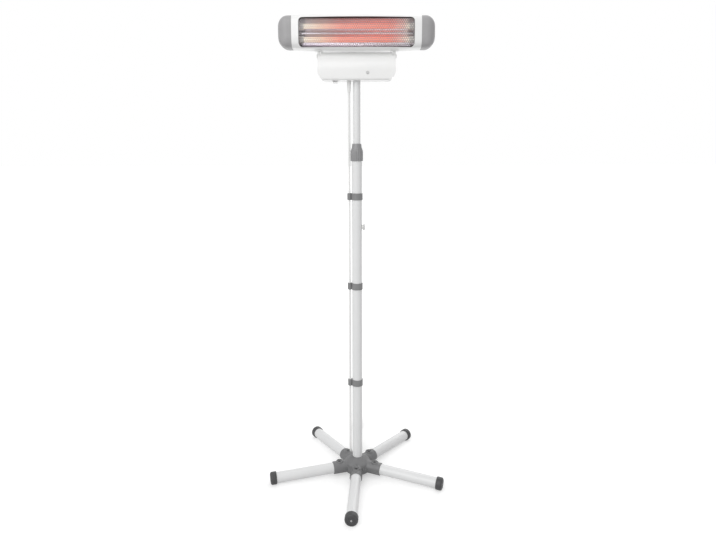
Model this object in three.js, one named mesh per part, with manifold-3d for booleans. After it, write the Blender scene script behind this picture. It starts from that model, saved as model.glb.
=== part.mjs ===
// A nursery heater on a telescopic stand. Millimetres, +Z up, the floor is z = 0 and -Y is the front.
import * as THREE from "three";
import { mergeGeometries, mergeVertices } from "three/addons/utils/BufferGeometryUtils.js";
import Module from "manifold-3d";

const wasm = await Module();
wasm.setup();

// Fits that several pieces share
const CLEAR = 0.3;
const OVERRUN = 2;

// Star foot
const LEGS = 5;
const LEG_TURN_DEG = -3.5;
const LEG_RADIUS = 17.5;
const LEG_WALL = 1.5;
const LEG_START = 42;
const LEG_REACH = 282;
const LEG_DROP = 9;
const LEG_INSERT = 43;
const CAP_RADIUS = 20.5;
const CAP_LENGTH = 15;
const CAP_EDGE = 6;
const CAP_FLAT = 1;
const CAP_SPIGOT = 14;
const CAP_PIN_RADIUS = 3;
const CAP_PIN_DEPTH = 1.2;

// Hub
const SOCKET_WALL = 3;
const HUB_RADIUS = 43;
const HUB_TOP = 61;
const HUB_SHOULDER = 46;
const HUB_UNDERSIDE = 8;
const HUB_EDGE = 4;
const HUB_RIM = 4;
const BOSS_RADIUS = 9.5;
const BOSS_PLACE = 62;
const BOSS_PROUD = 4;
const BOSS_BORE = 2.6;
const BOLT_RADIUS = 4;
const BOLT_HEAD = 9;
const BOLT_HEAD_THICK = 5;
const BOLT_RISE = 22;

// Mast
const MAST_RADIUS = 16.25;
const MAST_WALL = 1.5;
const MAST_FOOT = 26;
const MAST_TOP = 1072;
const PLUG_LENGTH = 24;
const STEM_RADIUS = 11.5;
const STEM_WALL = 1.2;
const STEM_FOOT = 560;
const STEM_IN_BOX = 34;
const BUSH_LENGTH = 30;
const BUSH_LIP = 4;

// Twist lock
const COLLAR_FOOT = 1055;
const COLLAR_TOP = 1108;
const COLLAR_RADIUS = 19.5;
const COLLAR_NECK = 14.5;
const COLLAR_BAND = 29;
const COLLAR_STEP = 41;
const COLLAR_RIBS = 18;
const COLLAR_RIB = 1;
const COLLET_WALL = 0.6;
const COLLET_GRIP = 26;
const COLLET_SLOT = 2;
const COLLET_FINGERS = 4;

// Side knob
const KNOB_HEIGHT = 847;
const KNOB_RADIUS = 9.3;
const KNOB_LENGTH = 7;
const KNOB_LOBES = 6;
const KNOB_SCALLOP = 3.2;
const KNOB_STEM = 3;
const INSERT_RADIUS = 6.5;
const INSERT_PROUD = 2;

// Mains lead, clips and gland
const CORD_RADIUS = 3.5;
const CORD_OFFSET = 23.5;
const CORD_SIDES = 8;
const CORD_STEPS = 42;
const CLIP_HEIGHTS = [325.6, 654.6, 944.3];
const CLIP_LENGTH = 21;
const CLIP_WALL = 1.8;
const CLIP_EYE = 3.4;
const CLIP_MOUTH = 3;
const GLAND_LENGTH = 34;
const GLAND_RADIUS = 6.4;
const GLAND_TIP = 4.6;
const GLAND_FLANGE = 8;
const GLAND_FLANGE_THICK = 2;

// Hank of spare lead behind the foot
const HANK_LOOPS = 3;
const HANK_FOLD = 21;
const HANK_RUN = 108;
const HANK_START = 92;
const HANK_PITCH = 7.6;
const LEAD_GRID = 10;
const HANK_WAIST = 9;
const HANK_SIDES = 6;
const HANK_FOLD_STEPS = 7;
const HANK_RUN_STEPS = 5;
const TIE_WALL = 1.2;
const TIE_WIDTH = 16;

// Mains plug
const PLUG_BODY = 17.5;
const PLUG_NECK = 6;
const PLUG_DEPTH = 36;
const PLUG_TAPER = 16;
const PIN_RADIUS = 2.4;
const PIN_LENGTH = 19;
const PIN_SPACING = 19;
const PLUG_GAP = 16;

// Control box
const BOX_FOOT = 1296;
const BOX_HEIGHT = 84;
const BOX_WIDTH = 234;
const BOX_DEPTH = 64;
const BOX_WALL = 2.5;
const BOX_CORNER = 27;
const BOX_TOP_CORNER = 4;
const BOX_EDGE = 7;
const BOX_SHOULDER = 30;
const BOX_END_WALL = 15;
const BOSS_IN_BOX = 17;
const BOARD_SHARE = 0.94;
const BOARD_PART_SHARES = [-0.3, 0, 0.32];
const BOARD_DEPTH = 34;
const BOARD_THICK = 1.6;
const BOARD_PART_HEIGHT = 12;
const TERMINAL_WIDTH = 22;
const TERMINAL_DEPTH = 16;
const TERMINAL_HEIGHT = 14;

// Button and switch
const BUTTON_RADIUS = 4.6;
const BUTTON_PLACE = 33;
const BUTTON_HEIGHT = 22;
const BUTTON_PROUD = 2.2;
const BUTTON_FLANGE = 1.6;
const SWITCH_PLACE = -65;
const SWITCH_WIDTH = 14;
const SWITCH_LENGTH = 22;
const SWITCH_FRAME = 2;
const SWITCH_DEPTH = 20;
const ROCKER_PROUD = 5;
const ROCKER_TILT_DEG = 8;
const ROCKER_ROUND = 9;

// Tilt joint
const PIVOT_DROP = 11.5;
const KNUCKLE_RADIUS = 7.5;
const KNUCKLE_WIDTH = 10;
const KNUCKLE_PROUD = 2;
const ARM_WIDTH = 8;
const ARM_DEPTH = 13;
const ARM_PAD_WIDTH = 24;
const ARM_PAD_DEPTH = 30;
const ARM_PAD_THICK = 2.5;
const NOTCH_GAP = 1.2;
const PIVOT_PIN_RADIUS = 3;
const PIVOT_PIN_HEAD = 5;
const PIVOT_PIN_HEAD_THICK = 1.2;

// Heater head
const HEAD_GAP = 3;
const HEAD_HEIGHT = 105;
const HEAD_END_HEIGHT = 94;
const HEAD_DEPTH = 100;
const HEAD_END_DEPTH = 90;
const HEAD_WIDTH = 468;
const HEAD_CAP_WIDTH = 42;
const HEAD_CAP_ROUND = 30;
const CAP_ROUND_SHARES = [0, 0.4, 0.7, 0.89, 0.985];
const HEAD_POWER = 4;
const HEAD_STEPS = 32;
const HEAD_STATIONS = 6;
const HEAD_WALL = 2;
const CAP_WALL = 3;
const CAP_SEAT = 8;
const WINDOW_WIDTH = 342;
const WINDOW_HEIGHT = 81;
const WINDOW_LOW = -3;
const WINDOW_CORNER = 12;
const WINDOW_ARCH = 0.6;
const SEAM_SHIFT = 4;

// Grille, reflector and tubes
const GRILLE_FRAME = 0.8;
const GRILLE_THICK = 1.2;
const GRILLE_SETBACK = 0.6;
const GRILLE_COLUMNS = 20;
const GRILLE_ROWS = 5;
const GRILLE_WIRE = 1.6;
const REFLECTOR_WIDTH = 346;
const REFLECTOR_THICK = 0.9;
const REFLECTOR_FRONT = -25;
const REFLECTOR_RIDGE = -10;
const REFLECTOR_BACK = 10;
const REFLECTOR_HALF = 40;
const REFLECTOR_STEPS = 6;
const REFLECTOR_POWER = 0.8;
const TUBE_SPACING = 38;
const TUBE_PLACE = -15;
const TUBE_CENTRE_LOW = -2.5;
const QUARTZ_RADIUS = 7.5;
const QUARTZ_WALL = 1.2;
const QUARTZ_LENGTH = 320;
const COIL_WIRE = 0.9;
const COIL_TURNS = 7;
const COIL_STEPS = 8;
const COIL_SIDES = 5;
const CERAMIC_RADIUS = 10.5;
const CERAMIC_LENGTH = 15;
const CERAMIC_LIP = 3;
const PLATE_THICK = 1.2;
const PLATE_EDGE = 5;
const CUTOUT_RADIUS = 8;
const CUTOUT_THICK = 6;

// Places worked out from the sizes above
const tau = 2 * Math.PI;
const mastBore = MAST_RADIUS - MAST_WALL;
const hubAxis = CAP_RADIUS - CAP_FLAT + LEG_DROP;
const legSlope = Math.atan2(LEG_DROP, LEG_REACH);
const socketRadius = LEG_RADIUS + SOCKET_WALL;
const boxTop = BOX_FOOT + BOX_HEIGHT;
const pivotHeight = boxTop - PIVOT_DROP;
const headHeight = boxTop + HEAD_GAP + HEAD_HEIGHT / 2;
const casingHalf = HEAD_WIDTH / 2 - HEAD_CAP_WIDTH;
const pivotReach = BOX_WIDTH / 2 + KNUCKLE_PROUD;
const coilRadius = QUARTZ_RADIUS - QUARTZ_WALL - COIL_WIRE - 2 * CLEAR;
const tubeHeights = [-1, 1].map((side) => TUBE_CENTRE_LOW + (side * TUBE_SPACING) / 2);

const finishes = {
  casing: { color: 0xf4f4f3, roughness: 0.35, metalness: 0 },
  grey: { color: 0x9b9c9e, roughness: 0.45, metalness: 0 },
  darkGrey: { color: 0x57585b, roughness: 0.55, metalness: 0 },
  black: { color: 0x2b2c2f, roughness: 0.6, metalness: 0 },
  paintedTube: { color: 0xe9eaeb, roughness: 0.3, metalness: 0.2 },
  steel: { color: 0xb9bcc0, roughness: 0.35, metalness: 1 },
  mirrorSheet: { color: 0xd6d3d6, roughness: 0.15, metalness: 1 },
  quartz: { color: 0xf08a70, roughness: 0.2, metalness: 0 },
  element: { color: 0xff8a5c, roughness: 0.6, metalness: 0.4 },
  ceramic: { color: 0xe9e1cc, roughness: 0.6, metalness: 0 },
  board: { color: 0x2f6b45, roughness: 0.5, metalness: 0 },
  lead: { color: 0xf1f1ef, roughness: 0.5, metalness: 0 },
  strap: { color: 0x2b2c2f, roughness: 0.8, metalness: 0 },
};

// A closed geometry as a solid that can be joined and cut.
function solid(geometry) {
  const bare = geometry.index ? geometry.toNonIndexed() : geometry.clone();
  bare.deleteAttribute("normal");
  bare.deleteAttribute("uv");
  const merged = mergeVertices(bare, 1e-4);
  const triVerts = new Uint32Array(merged.index.array);
  return new wasm.Manifold(
    new wasm.Mesh({ numProp: 3, vertProperties: merged.attributes.position.array, triVerts }),
  );
}

function shell(made) {
  const mesh = made.getMesh();
  const geometry = new THREE.BufferGeometry();
  geometry.setAttribute("position", new THREE.BufferAttribute(mesh.vertProperties, 3));
  geometry.setIndex(new THREE.BufferAttribute(mesh.triVerts, 1));
  geometry.computeVertexNormals();
  return geometry;
}

const joined = (first, ...others) => others.reduce((whole, part) => whole.add(part), first);
const cut = (first, ...others) => others.reduce((whole, part) => whole.subtract(part), first);

// A profile of [radius, height] pairs turned about the Z axis, its outer side running upwards.
function turned(profile, sides = 32) {
  const points = profile.map(([r, z]) => new THREE.Vector2(r, z));
  return solid(new THREE.LatheGeometry(points, sides).rotateX(Math.PI / 2));
}

function disc(radius, low, high, sides = 32) {
  return turned([[0, low], [radius, low], [radius, high], [0, high]], sides);
}

function pipe(outer, inner, low, high, sides = 32) {
  return turned([[inner, low], [outer, low], [outer, high], [inner, high], [inner, low]], sides);
}

function block(width, depth, height, x, y, z) {
  return solid(new THREE.BoxGeometry(width, depth, height).translate(x, y, z));
}

const along = { x: [0, 90, 0], y: [-90, 0, 0] };
const laid = (made, way) => made.rotate(along[way]);
const counted = (number) => [...Array(number).keys()];

// A flat outline in the XZ plane made thick along Y, centred on y = 0.
function slab(outline, depth, curveSegments = 8) {
  const geometry = new THREE.ExtrudeGeometry(outline, { depth, bevelEnabled: false, curveSegments });
  return solid(geometry.translate(0, 0, -depth / 2).rotateX(Math.PI / 2));
}

// A flat outline in the YZ plane made long along X, centred on x = 0.
function beam(outline, length, curveSegments = 8) {
  const settings = { depth: length, bevelEnabled: false, curveSegments };
  const geometry = new THREE.ExtrudeGeometry(outline, settings);
  return solid(geometry.translate(0, 0, -length / 2).rotateX(Math.PI / 2).rotateZ(Math.PI / 2));
}

// Rings of equal count joined into a closed skin with a fan at each end.
function loft(rings) {
  const count = rings[0].length;
  const centres = [rings[0], rings.at(-1)].map((ring) =>
    ring.reduce((sum, p) => sum.add(p), new THREE.Vector3()).divideScalar(count));
  const points = [...rings.flat(), ...centres];
  const index = [];
  for (let i = 0; i < count; i++) {
    const j = (i + 1) % count;
    for (let r = 0; r + 1 < rings.length; r++) {
      const [a, b] = [r * count, (r + 1) * count];
      index.push(a + i, a + j, b + j, a + i, b + j, b + i);
    }
    const last = (rings.length - 1) * count;
    index.push(points.length - 2, j, i, points.length - 1, last + i, last + j);
  }
  const geometry = new THREE.BufferGeometry().setFromPoints(points);
  geometry.setIndex(index);
  return solid(geometry);
}

// A round cord along a smooth curve.
function tubeAlong(curve, radius, steps, sides) {
  const ring = new THREE.Shape();
  for (let i = 0; i < sides; i++) {
    const a = (i / sides) * tau;
    ring[i ? "lineTo" : "moveTo"](radius * Math.cos(a), radius * Math.sin(a));
  }
  ring.closePath();
  return new THREE.ExtrudeGeometry(ring, { steps, bevelEnabled: false, extrudePath: curve });
}

const heater = new THREE.Group();
function piece(name, made, finish) {
  const geometry = made.isBufferGeometry ? made : shell(made);
  const mesh = new THREE.Mesh(geometry, new THREE.MeshStandardMaterial(finishes[finish]));
  mesh.name = name;
  heater.add(mesh);
  return mesh;
}

// Star foot: tubes that slope down from the hub to round end caps, each with a flat under it.
function legPlace(made, i) {
  const heading = -90 + LEG_TURN_DEG + (i * 360) / LEGS;
  return made
    .rotate([0, THREE.MathUtils.radToDeg(legSlope), 0])
    .translate([0, 0, hubAxis])
    .rotate([0, 0, heading]);
}

function legTube() {
  return laid(pipe(LEG_RADIUS, LEG_RADIUS - LEG_WALL, LEG_START, LEG_REACH, 20), "x");
}

function footCap(i) {
  const start = LEG_REACH + CLEAR;
  const end = start + CAP_LENGTH;
  const edge = [0, 1, 2, 3].map((k) => {
    const a = (k / 3) * (Math.PI / 2);
    return [CAP_RADIUS - CAP_EDGE * (1 - Math.cos(a)), end - CAP_EDGE * (1 - Math.sin(a))];
  });
  const spigot = LEG_RADIUS - LEG_WALL - CLEAR;
  const profile = [[0, start - CAP_SPIGOT], [spigot, start - CAP_SPIGOT], [spigot, start]];
  profile.push([CAP_RADIUS, start], ...edge, [CAP_PIN_RADIUS, end], [CAP_PIN_RADIUS, end - CAP_PIN_DEPTH]);
  profile.push([0, end - CAP_PIN_DEPTH]);
  const cap = legPlace(laid(turned(profile, 20), "x"), i);
  const floor = block(4 * end, 4 * end, 2 * CAP_RADIUS, 0, 0, -CAP_RADIUS);
  return cut(cap, floor);
}

function hubSocket(i) {
  const reach = LEG_START + LEG_INSERT;
  const sleeve = laid(disc(socketRadius, 0, reach, 20), "x");
  return legPlace(sleeve, i);
}

function hubBoss(i) {
  const top = socketRadius + BOSS_PROUD;
  const profile = [[0, 0], [BOSS_RADIUS, 0], [BOSS_RADIUS, top - HUB_RIM / 2]];
  profile.push([BOSS_RADIUS - HUB_RIM / 2, top], [BOSS_BORE, top], [BOSS_BORE, top - HUB_RIM]);
  profile.push([0, top - HUB_RIM]);
  return legPlace(turned(profile, 14).translate([BOSS_PLACE, 0, 0]), i);
}

function hub() {
  const rim = MAST_RADIUS + HUB_RIM;
  const body = turned([
    [0, HUB_UNDERSIDE],
    [HUB_RADIUS - HUB_EDGE, HUB_UNDERSIDE],
    [HUB_RADIUS, HUB_UNDERSIDE + HUB_EDGE],
    [HUB_RADIUS, HUB_SHOULDER - HUB_EDGE],
    [HUB_RADIUS - HUB_EDGE, HUB_SHOULDER],
    [rim + HUB_EDGE, HUB_TOP - HUB_EDGE],
    [rim, HUB_TOP],
    [0, HUB_TOP],
  ], 30);
  const numbers = counted(LEGS);
  const bore = laid(disc(LEG_RADIUS + CLEAR, LEG_START - CLEAR, LEG_REACH, 20), "x");
  return cut(
    joined(body, ...numbers.map(hubSocket), ...numbers.map(hubBoss)),
    ...numbers.map((i) => legPlace(bore, i)),
    disc(MAST_RADIUS + CLEAR, MAST_FOOT - CLEAR, HUB_TOP + OVERRUN, 24),
    disc(BOLT_RADIUS + CLEAR, HUB_UNDERSIDE - OVERRUN, MAST_FOOT, 12),
    disc(BOLT_HEAD + CLEAR, HUB_UNDERSIDE - OVERRUN, HUB_UNDERSIDE + BOLT_HEAD_THICK, 16),
  );
}

function starFoot() {
  piece("hub", hub(), "darkGrey");
  for (let i = 0; i < LEGS; i++) {
    piece("leg_" + (i + 1), legPlace(legTube(), i), "paintedTube");
    piece("foot_cap_" + (i + 1), footCap(i), "black");
  }
  const plugFoot = MAST_FOOT;
  const plug = pipe(mastBore - CLEAR, BOLT_RADIUS + CLEAR, plugFoot, plugFoot + PLUG_LENGTH, 20);
  piece("mast_plug", plug, "black");
  const headTop = HUB_UNDERSIDE + BOLT_HEAD_THICK - CLEAR;
  const bolt = joined(
    disc(BOLT_HEAD, HUB_UNDERSIDE, headTop, 6),
    disc(BOLT_RADIUS, HUB_UNDERSIDE, plugFoot + BOLT_RISE, 12),
  );
  piece("hub_bolt", bolt, "steel");
}

// Mast: a fixed lower tube, and a stem that slides in it on a bush.
function lowerMast() {
  const hole = laid(disc(INSERT_RADIUS - INSERT_PROUD + CLEAR, 0, MAST_RADIUS + OVERRUN, 16), "x");
  return cut(pipe(MAST_RADIUS, mastBore, MAST_FOOT, MAST_TOP, 32), hole.translate([0, 0, KNOB_HEIGHT]));
}

function stemTube() {
  return pipe(STEM_RADIUS, STEM_RADIUS - STEM_WALL, STEM_FOOT, BOX_FOOT + STEM_IN_BOX, 32);
}

function guideBush() {
  const inner = STEM_RADIUS - STEM_WALL - CLEAR;
  const lip = mastBore - CLEAR;
  const low = STEM_FOOT - CLEAR - BUSH_LIP;
  const high = STEM_FOOT - CLEAR;
  return turned([
    [inner - MAST_WALL, low], [lip, low], [lip, high], [inner, high],
    [inner, low + BUSH_LENGTH], [inner - MAST_WALL, low + BUSH_LENGTH], [inner - MAST_WALL, low],
  ], 20);
}

function mast() {
  piece("lower_mast", lowerMast(), "paintedTube");
  piece("mast_stem", stemTube(), "paintedTube");
  piece("guide_bush", guideBush(), "black");
}

// Twist lock: a slotted collet on the lower tube, squeezed by a ribbed collar that turns.
function collet() {
  const foot = COLLAR_FOOT + OVERRUN;
  const grip = MAST_TOP + CLEAR;
  const outer = MAST_RADIUS + CLEAR;
  const inner = STEM_RADIUS + CLEAR;
  const sleeve = turned([
    [outer, foot], [outer + COLLET_WALL, foot], [outer + COLLET_WALL, grip],
    [inner + COLLET_WALL, grip + COLLET_GRIP], [inner, grip + COLLET_GRIP], [inner, grip],
    [outer, grip], [outer, foot],
  ], 24);
  const slotLength = COLLET_GRIP - COLLET_SLOT;
  const slotMiddle = grip + COLLET_GRIP - slotLength / 2 + OVERRUN;
  const slot = block(2 * COLLAR_RADIUS, COLLET_SLOT, slotLength + OVERRUN, COLLAR_RADIUS, 0, slotMiddle);
  const slots = counted(COLLET_FINGERS).map((i) => slot.rotate([0, 0, (i * 360) / COLLET_FINGERS]));
  return cut(sleeve, ...slots);
}

function lockCollar() {
  const bore = MAST_RADIUS + COLLET_WALL + 2 * CLEAR;
  const neck = STEM_RADIUS + 2 * CLEAR;
  const root = COLLAR_RADIUS - COLLAR_RIB;
  const band = COLLAR_FOOT + COLLAR_BAND;
  const step = COLLAR_FOOT + COLLAR_STEP;
  const grip = MAST_TOP + CLEAR;
  const neckStart = grip + COLLET_GRIP + CLEAR;
  const body = turned([
    [bore, COLLAR_FOOT], [root, COLLAR_FOOT], [root, band], [COLLAR_NECK + COLLAR_RIB, step],
    [COLLAR_NECK, COLLAR_TOP - COLLAR_RIB], [COLLAR_NECK - COLLAR_RIB, COLLAR_TOP], [neck, COLLAR_TOP],
    [neck, neckStart], [STEM_RADIUS + COLLET_WALL + 3 * CLEAR, neckStart], [bore, grip],
    [bore, COLLAR_FOOT],
  ], 30);
  const ribHeight = COLLAR_BAND;
  const ribPlace = root + (COLLAR_RIB - CLEAR) / 2;
  const rib = block(COLLAR_RIB + CLEAR, COLLAR_RIB, ribHeight, ribPlace, 0, COLLAR_FOOT + ribHeight / 2);
  const ribs = counted(COLLAR_RIBS).map((i) => rib.rotate([0, 0, ((i + 0.5) * 360) / COLLAR_RIBS]));
  return joined(body, ...ribs);
}

// Side knob: a lobed screw that bears on the stem through an insert in the lower tube.
function sideKnob() {
  const foot = MAST_RADIUS + INSERT_PROUD + CLEAR;
  const tip = STEM_RADIUS + CLEAR;
  const head = disc(KNOB_RADIUS, foot, foot + KNOB_LENGTH, 36);
  const lobe = disc(KNOB_SCALLOP, foot - OVERRUN, foot + KNOB_LENGTH + OVERRUN, 14);
  const around = counted(KNOB_LOBES).map((i) => {
    const a = ((i + 0.5) / KNOB_LOBES) * tau;
    const reach = KNOB_RADIUS + KNOB_SCALLOP / 2;
    return lobe.translate([reach * Math.cos(a), reach * Math.sin(a), 0]);
  });
  const knob = joined(cut(head, ...around), disc(KNOB_STEM, tip, foot + OVERRUN, 14));
  piece("side_knob", laid(knob, "x").translate([0, 0, KNOB_HEIGHT]), "grey");
  const flange = MAST_RADIUS + CLEAR;
  const insert = turned([
    [KNOB_STEM + CLEAR, STEM_RADIUS + 2 * CLEAR], [INSERT_RADIUS - INSERT_PROUD, STEM_RADIUS + 2 * CLEAR],
    [INSERT_RADIUS - INSERT_PROUD, flange], [INSERT_RADIUS, flange],
    [INSERT_RADIUS, MAST_RADIUS + INSERT_PROUD], [KNOB_STEM + CLEAR, MAST_RADIUS + INSERT_PROUD],
    [KNOB_STEM + CLEAR, STEM_RADIUS + 2 * CLEAR],
  ], 16);
  const tubeFace = disc(MAST_RADIUS + CLEAR, KNOB_HEIGHT - KNOB_RADIUS, KNOB_HEIGHT + KNOB_RADIUS, 32);
  const neckRoom = laid(disc(INSERT_RADIUS - INSERT_PROUD, 0, MAST_RADIUS + OVERRUN, 16), "x");
  const saddle = cut(tubeFace, neckRoom.translate([0, 0, KNOB_HEIGHT]));
  piece("knob_insert", cut(laid(insert, "x").translate([0, 0, KNOB_HEIGHT]), saddle), "steel");
}

// Clips: a sprung ring on the mast with an eye for the lead beside it.
function cordClip(height) {
  const low = height - CLIP_LENGTH / 2;
  const high = height + CLIP_LENGTH / 2;
  const ringBore = MAST_RADIUS + CLEAR;
  const eyeBore = CORD_RADIUS + CLEAR;
  const sleeve = joined(
    disc(ringBore + CLIP_WALL, low, high, 28),
    disc(eyeBore + CLIP_EYE, low, high, 14).translate([-CORD_OFFSET, 0, 0]),
  );
  return cut(
    sleeve,
    disc(ringBore, low - OVERRUN, high + OVERRUN, 28),
    disc(eyeBore, low - OVERRUN, high + OVERRUN, 12).translate([-CORD_OFFSET, 0, 0]),
    block(CLIP_MOUTH, MAST_RADIUS, CLIP_LENGTH + OVERRUN, -CORD_OFFSET, eyeBore + MAST_RADIUS / 2, height),
  );
}

// Gland: a tapered sleeve that carries the lead out of the box.
function cordGland() {
  const bore = CORD_RADIUS + CLEAR;
  const tip = BOX_FOOT - GLAND_LENGTH;
  const flange = BOX_FOOT + BOX_WALL + CLEAR;
  return turned([
    [bore, tip], [GLAND_TIP, tip], [GLAND_RADIUS, BOX_FOOT - CLEAR], [GLAND_RADIUS, flange],
    [GLAND_FLANGE, flange], [GLAND_FLANGE, flange + GLAND_FLANGE_THICK],
    [bore, flange + GLAND_FLANGE_THICK], [bore, tip],
  ], 20).translate([-CORD_OFFSET, 0, 0]);
}

// The lead's free bends are plotted on a grid, as [across, back, up].
const onGrid = (points) => points.map((point) => point.map((place) => place * LEAD_GRID));

// The last stretch of the lead, through the tie and past the folds to the plug.
const hankEnd = onGrid([
  [0.76, 9.2, 4.55], [0.76, 11.36, 4.13], [0.76, 13.52, 3.46], [0.76, 14.6, 3.35], [0.76, 17.2, 3.06],
  [0.76, 20, 2.55], [0.72, 22.6, 2.08], [0.48, 24.6, 1.84], [0.18, 26.6, 1.76], [0, 28.2, 1.75],
  [0, 29, 1.75],
]);

// Loops of the hank lie side by side on edge, each drawn in at the waist under the tie.
function hankPoints() {
  const points = [];
  const near = HANK_START;
  const far = HANK_START + HANK_RUN;
  const firstX = (-(HANK_LOOPS - 1) * HANK_PITCH) / 2;
  const middle = CORD_RADIUS + HANK_FOLD;
  const half = (share) => HANK_FOLD - (HANK_FOLD - HANK_WAIST) * 0.5 * (1 - Math.cos(tau * share));
  for (let loop = 0; loop < HANK_LOOPS - 1; loop++) {
    const x = firstX + loop * HANK_PITCH;
    for (let i = 0; i < HANK_RUN_STEPS; i++) {
      const share = i / HANK_RUN_STEPS;
      points.push([x, near + HANK_RUN * share, middle + half(share)]);
    }
    for (let i = 0; i < HANK_FOLD_STEPS; i++) {
      const a = Math.PI / 2 - (Math.PI * i) / HANK_FOLD_STEPS;
      points.push([x, far + HANK_FOLD * Math.cos(a), middle + HANK_FOLD * Math.sin(a)]);
    }
    for (let i = 0; i < HANK_RUN_STEPS; i++) {
      const share = i / HANK_RUN_STEPS;
      const climb = 0.5 * (1 - Math.cos(Math.PI * share));
      points.push([x + HANK_PITCH * climb, far - HANK_RUN * share, middle - half(share)]);
    }
    for (let i = 0; i < HANK_FOLD_STEPS; i++) {
      const a = -Math.PI / 2 - (Math.PI * i) / HANK_FOLD_STEPS;
      points.push([x + HANK_PITCH, near + HANK_FOLD * Math.cos(a), middle + HANK_FOLD * Math.sin(a)]);
    }
  }
  return [...points, ...hankEnd];
}

const cordCurve = (points) =>
  new THREE.CatmullRomCurve3(points.map((p) => new THREE.Vector3(...p)), false, "centripetal");

// The lead's free route from the lowest clip, behind the mast and over the hub to the hank.
const cordRoute = onGrid([
  [-2.35, 0, 31.45], [-2.35, 0, 26], [-2.35, 0, 20], [-2.35, 0, 15], [-2.35, 0, 11.8],
  [-2.35, 0.01, 9.8], [-2.32, 0.24, 8.33], [-2.16, 0.94, 7.13], [-1.82, 2, 6.24], [-1.52, 2.96, 5.82],
  [-1.19, 4.2, 5.54], [-0.9, 5.8, 5.2], [-0.77, 7.4, 4.89], [-0.76, 9.17, 4.55],
]);

// The lead: a riser to the top clip, a run down the clips and over the hub, the hank, its tie and the plug.
function mainsLead() {
  const glandTip = BOX_FOOT - GLAND_LENGTH;
  const clipTop = CLIP_HEIGHTS.at(-1) + CLIP_LENGTH / 2;
  const riser = disc(CORD_RADIUS, clipTop + CLEAR, glandTip - CLEAR, CORD_SIDES);
  piece("cord_riser", riser.translate([-CORD_OFFSET, 0, 0]), "lead");
  const clips = CLIP_HEIGHTS.toReversed().map((z) => [-CORD_OFFSET, 0, z]);
  const run = cordCurve([[-CORD_OFFSET, 0, clipTop], ...clips, ...cordRoute]);
  piece("cord_run", tubeAlong(run, CORD_RADIUS, CORD_STEPS, CORD_SIDES), "lead");
  const loops = cordCurve(hankPoints());
  piece("cord_hank", tubeAlong(loops, CORD_RADIUS, hankPoints().length - 1, HANK_SIDES), "lead");
  piece("hank_tie", hankTie(), "strap");
  piece("mains_plug", mainsPlug().translate([0, hankEnd.at(-1)[1] + CLEAR, PLUG_BODY]), "black");
  const length = glandTip - clipTop + run.getLength() + loops.getLength();
  console.log("lead " + Math.round(length) + " mm, least gap in the hank " + hankGap().toFixed(2) + " mm");
}

// The least gap between turns of the hank, measured on points of its middle line.
function hankGap() {
  const points = cordCurve(hankPoints()).getSpacedPoints(4 * hankPoints().length);
  const step = points[0].distanceTo(points[1]);
  const apart = Math.ceil((2 * HANK_FOLD) / step);
  let least = Infinity;
  points.forEach((p, i) => points.slice(i + apart).forEach((q) => {
    least = Math.min(least, p.distanceTo(q));
  }));
  return least - 2 * CORD_RADIUS;
}

function hankTie() {
  const middle = CORD_RADIUS + HANK_FOLD;
  const half = [HANK_LOOPS * HANK_PITCH / 2 + CLEAR, HANK_WAIST + CORD_RADIUS + 3 * CLEAR];
  const band = (grow) => {
    const [w, h] = half.map((v) => v + grow);
    const outline = new THREE.Shape().moveTo(-w + TIE_WALL, -h).lineTo(w - TIE_WALL, -h);
    outline.lineTo(w, -h + TIE_WALL).lineTo(w, h - TIE_WALL).lineTo(w - TIE_WALL, h);
    outline.lineTo(-w + TIE_WALL, h).lineTo(-w, h - TIE_WALL).lineTo(-w, -h + TIE_WALL);
    return slab(outline, grow ? TIE_WIDTH : TIE_WIDTH + OVERRUN);
  };
  return cut(band(TIE_WALL), band(0)).translate([0, HANK_START + HANK_RUN / 2, middle]);
}

// Moulded plug lying behind the hank, its pins pointing away from it.
function mainsPlug() {
  const profile = [[0, 0], [PLUG_NECK, 0], [PLUG_NECK, PLUG_GAP], [PLUG_BODY, PLUG_GAP + PLUG_TAPER]];
  profile.push([PLUG_BODY, PLUG_GAP + PLUG_DEPTH], [0, PLUG_GAP + PLUG_DEPTH]);
  const pin = disc(PIN_RADIUS, PLUG_GAP + PLUG_DEPTH - OVERRUN, PLUG_GAP + PLUG_DEPTH + PIN_LENGTH, 10);
  const pins = [-1, 1].map((side) => pin.translate([(side * PIN_SPACING) / 2, 0, 0]));
  return laid(joined(turned(profile, 24), ...pins), "y");
}

// Control box: its section narrows to a round ridge about the tilt axis.
function boxSection(inset) {
  const half = BOX_DEPTH / 2 - inset;
  const low = inset;
  const top = BOX_HEIGHT - inset;
  const edge = BOX_EDGE - inset;
  const outline = new THREE.Shape().moveTo(-half + edge, low).lineTo(half - edge, low);
  outline.quadraticCurveTo(half, low, half, low + edge).lineTo(half, BOX_SHOULDER);
  outline.bezierCurveTo(half, BOX_SHOULDER + BOX_CORNER, PIVOT_DROP - inset, top, 0, top);
  outline.bezierCurveTo(-PIVOT_DROP + inset, top, -half, BOX_SHOULDER + BOX_CORNER, -half, BOX_SHOULDER);
  return outline.lineTo(-half, low + edge).quadraticCurveTo(-half, low, -half + edge, low);
}

function boxFront() {
  const half = BOX_WIDTH / 2;
  const outline = new THREE.Shape().moveTo(-half, BOX_CORNER);
  outline.absarc(-half + BOX_CORNER, BOX_CORNER, BOX_CORNER, Math.PI, 1.5 * Math.PI, false);
  outline.absarc(half - BOX_CORNER, BOX_CORNER, BOX_CORNER, 1.5 * Math.PI, tau, false);
  outline.lineTo(half, BOX_HEIGHT - BOX_TOP_CORNER);
  outline.lineTo(half - BOX_TOP_CORNER, BOX_HEIGHT + OVERRUN);
  outline.lineTo(-half + BOX_TOP_CORNER, BOX_HEIGHT + OVERRUN);
  return outline.lineTo(-half, BOX_HEIGHT - BOX_TOP_CORNER);
}

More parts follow.
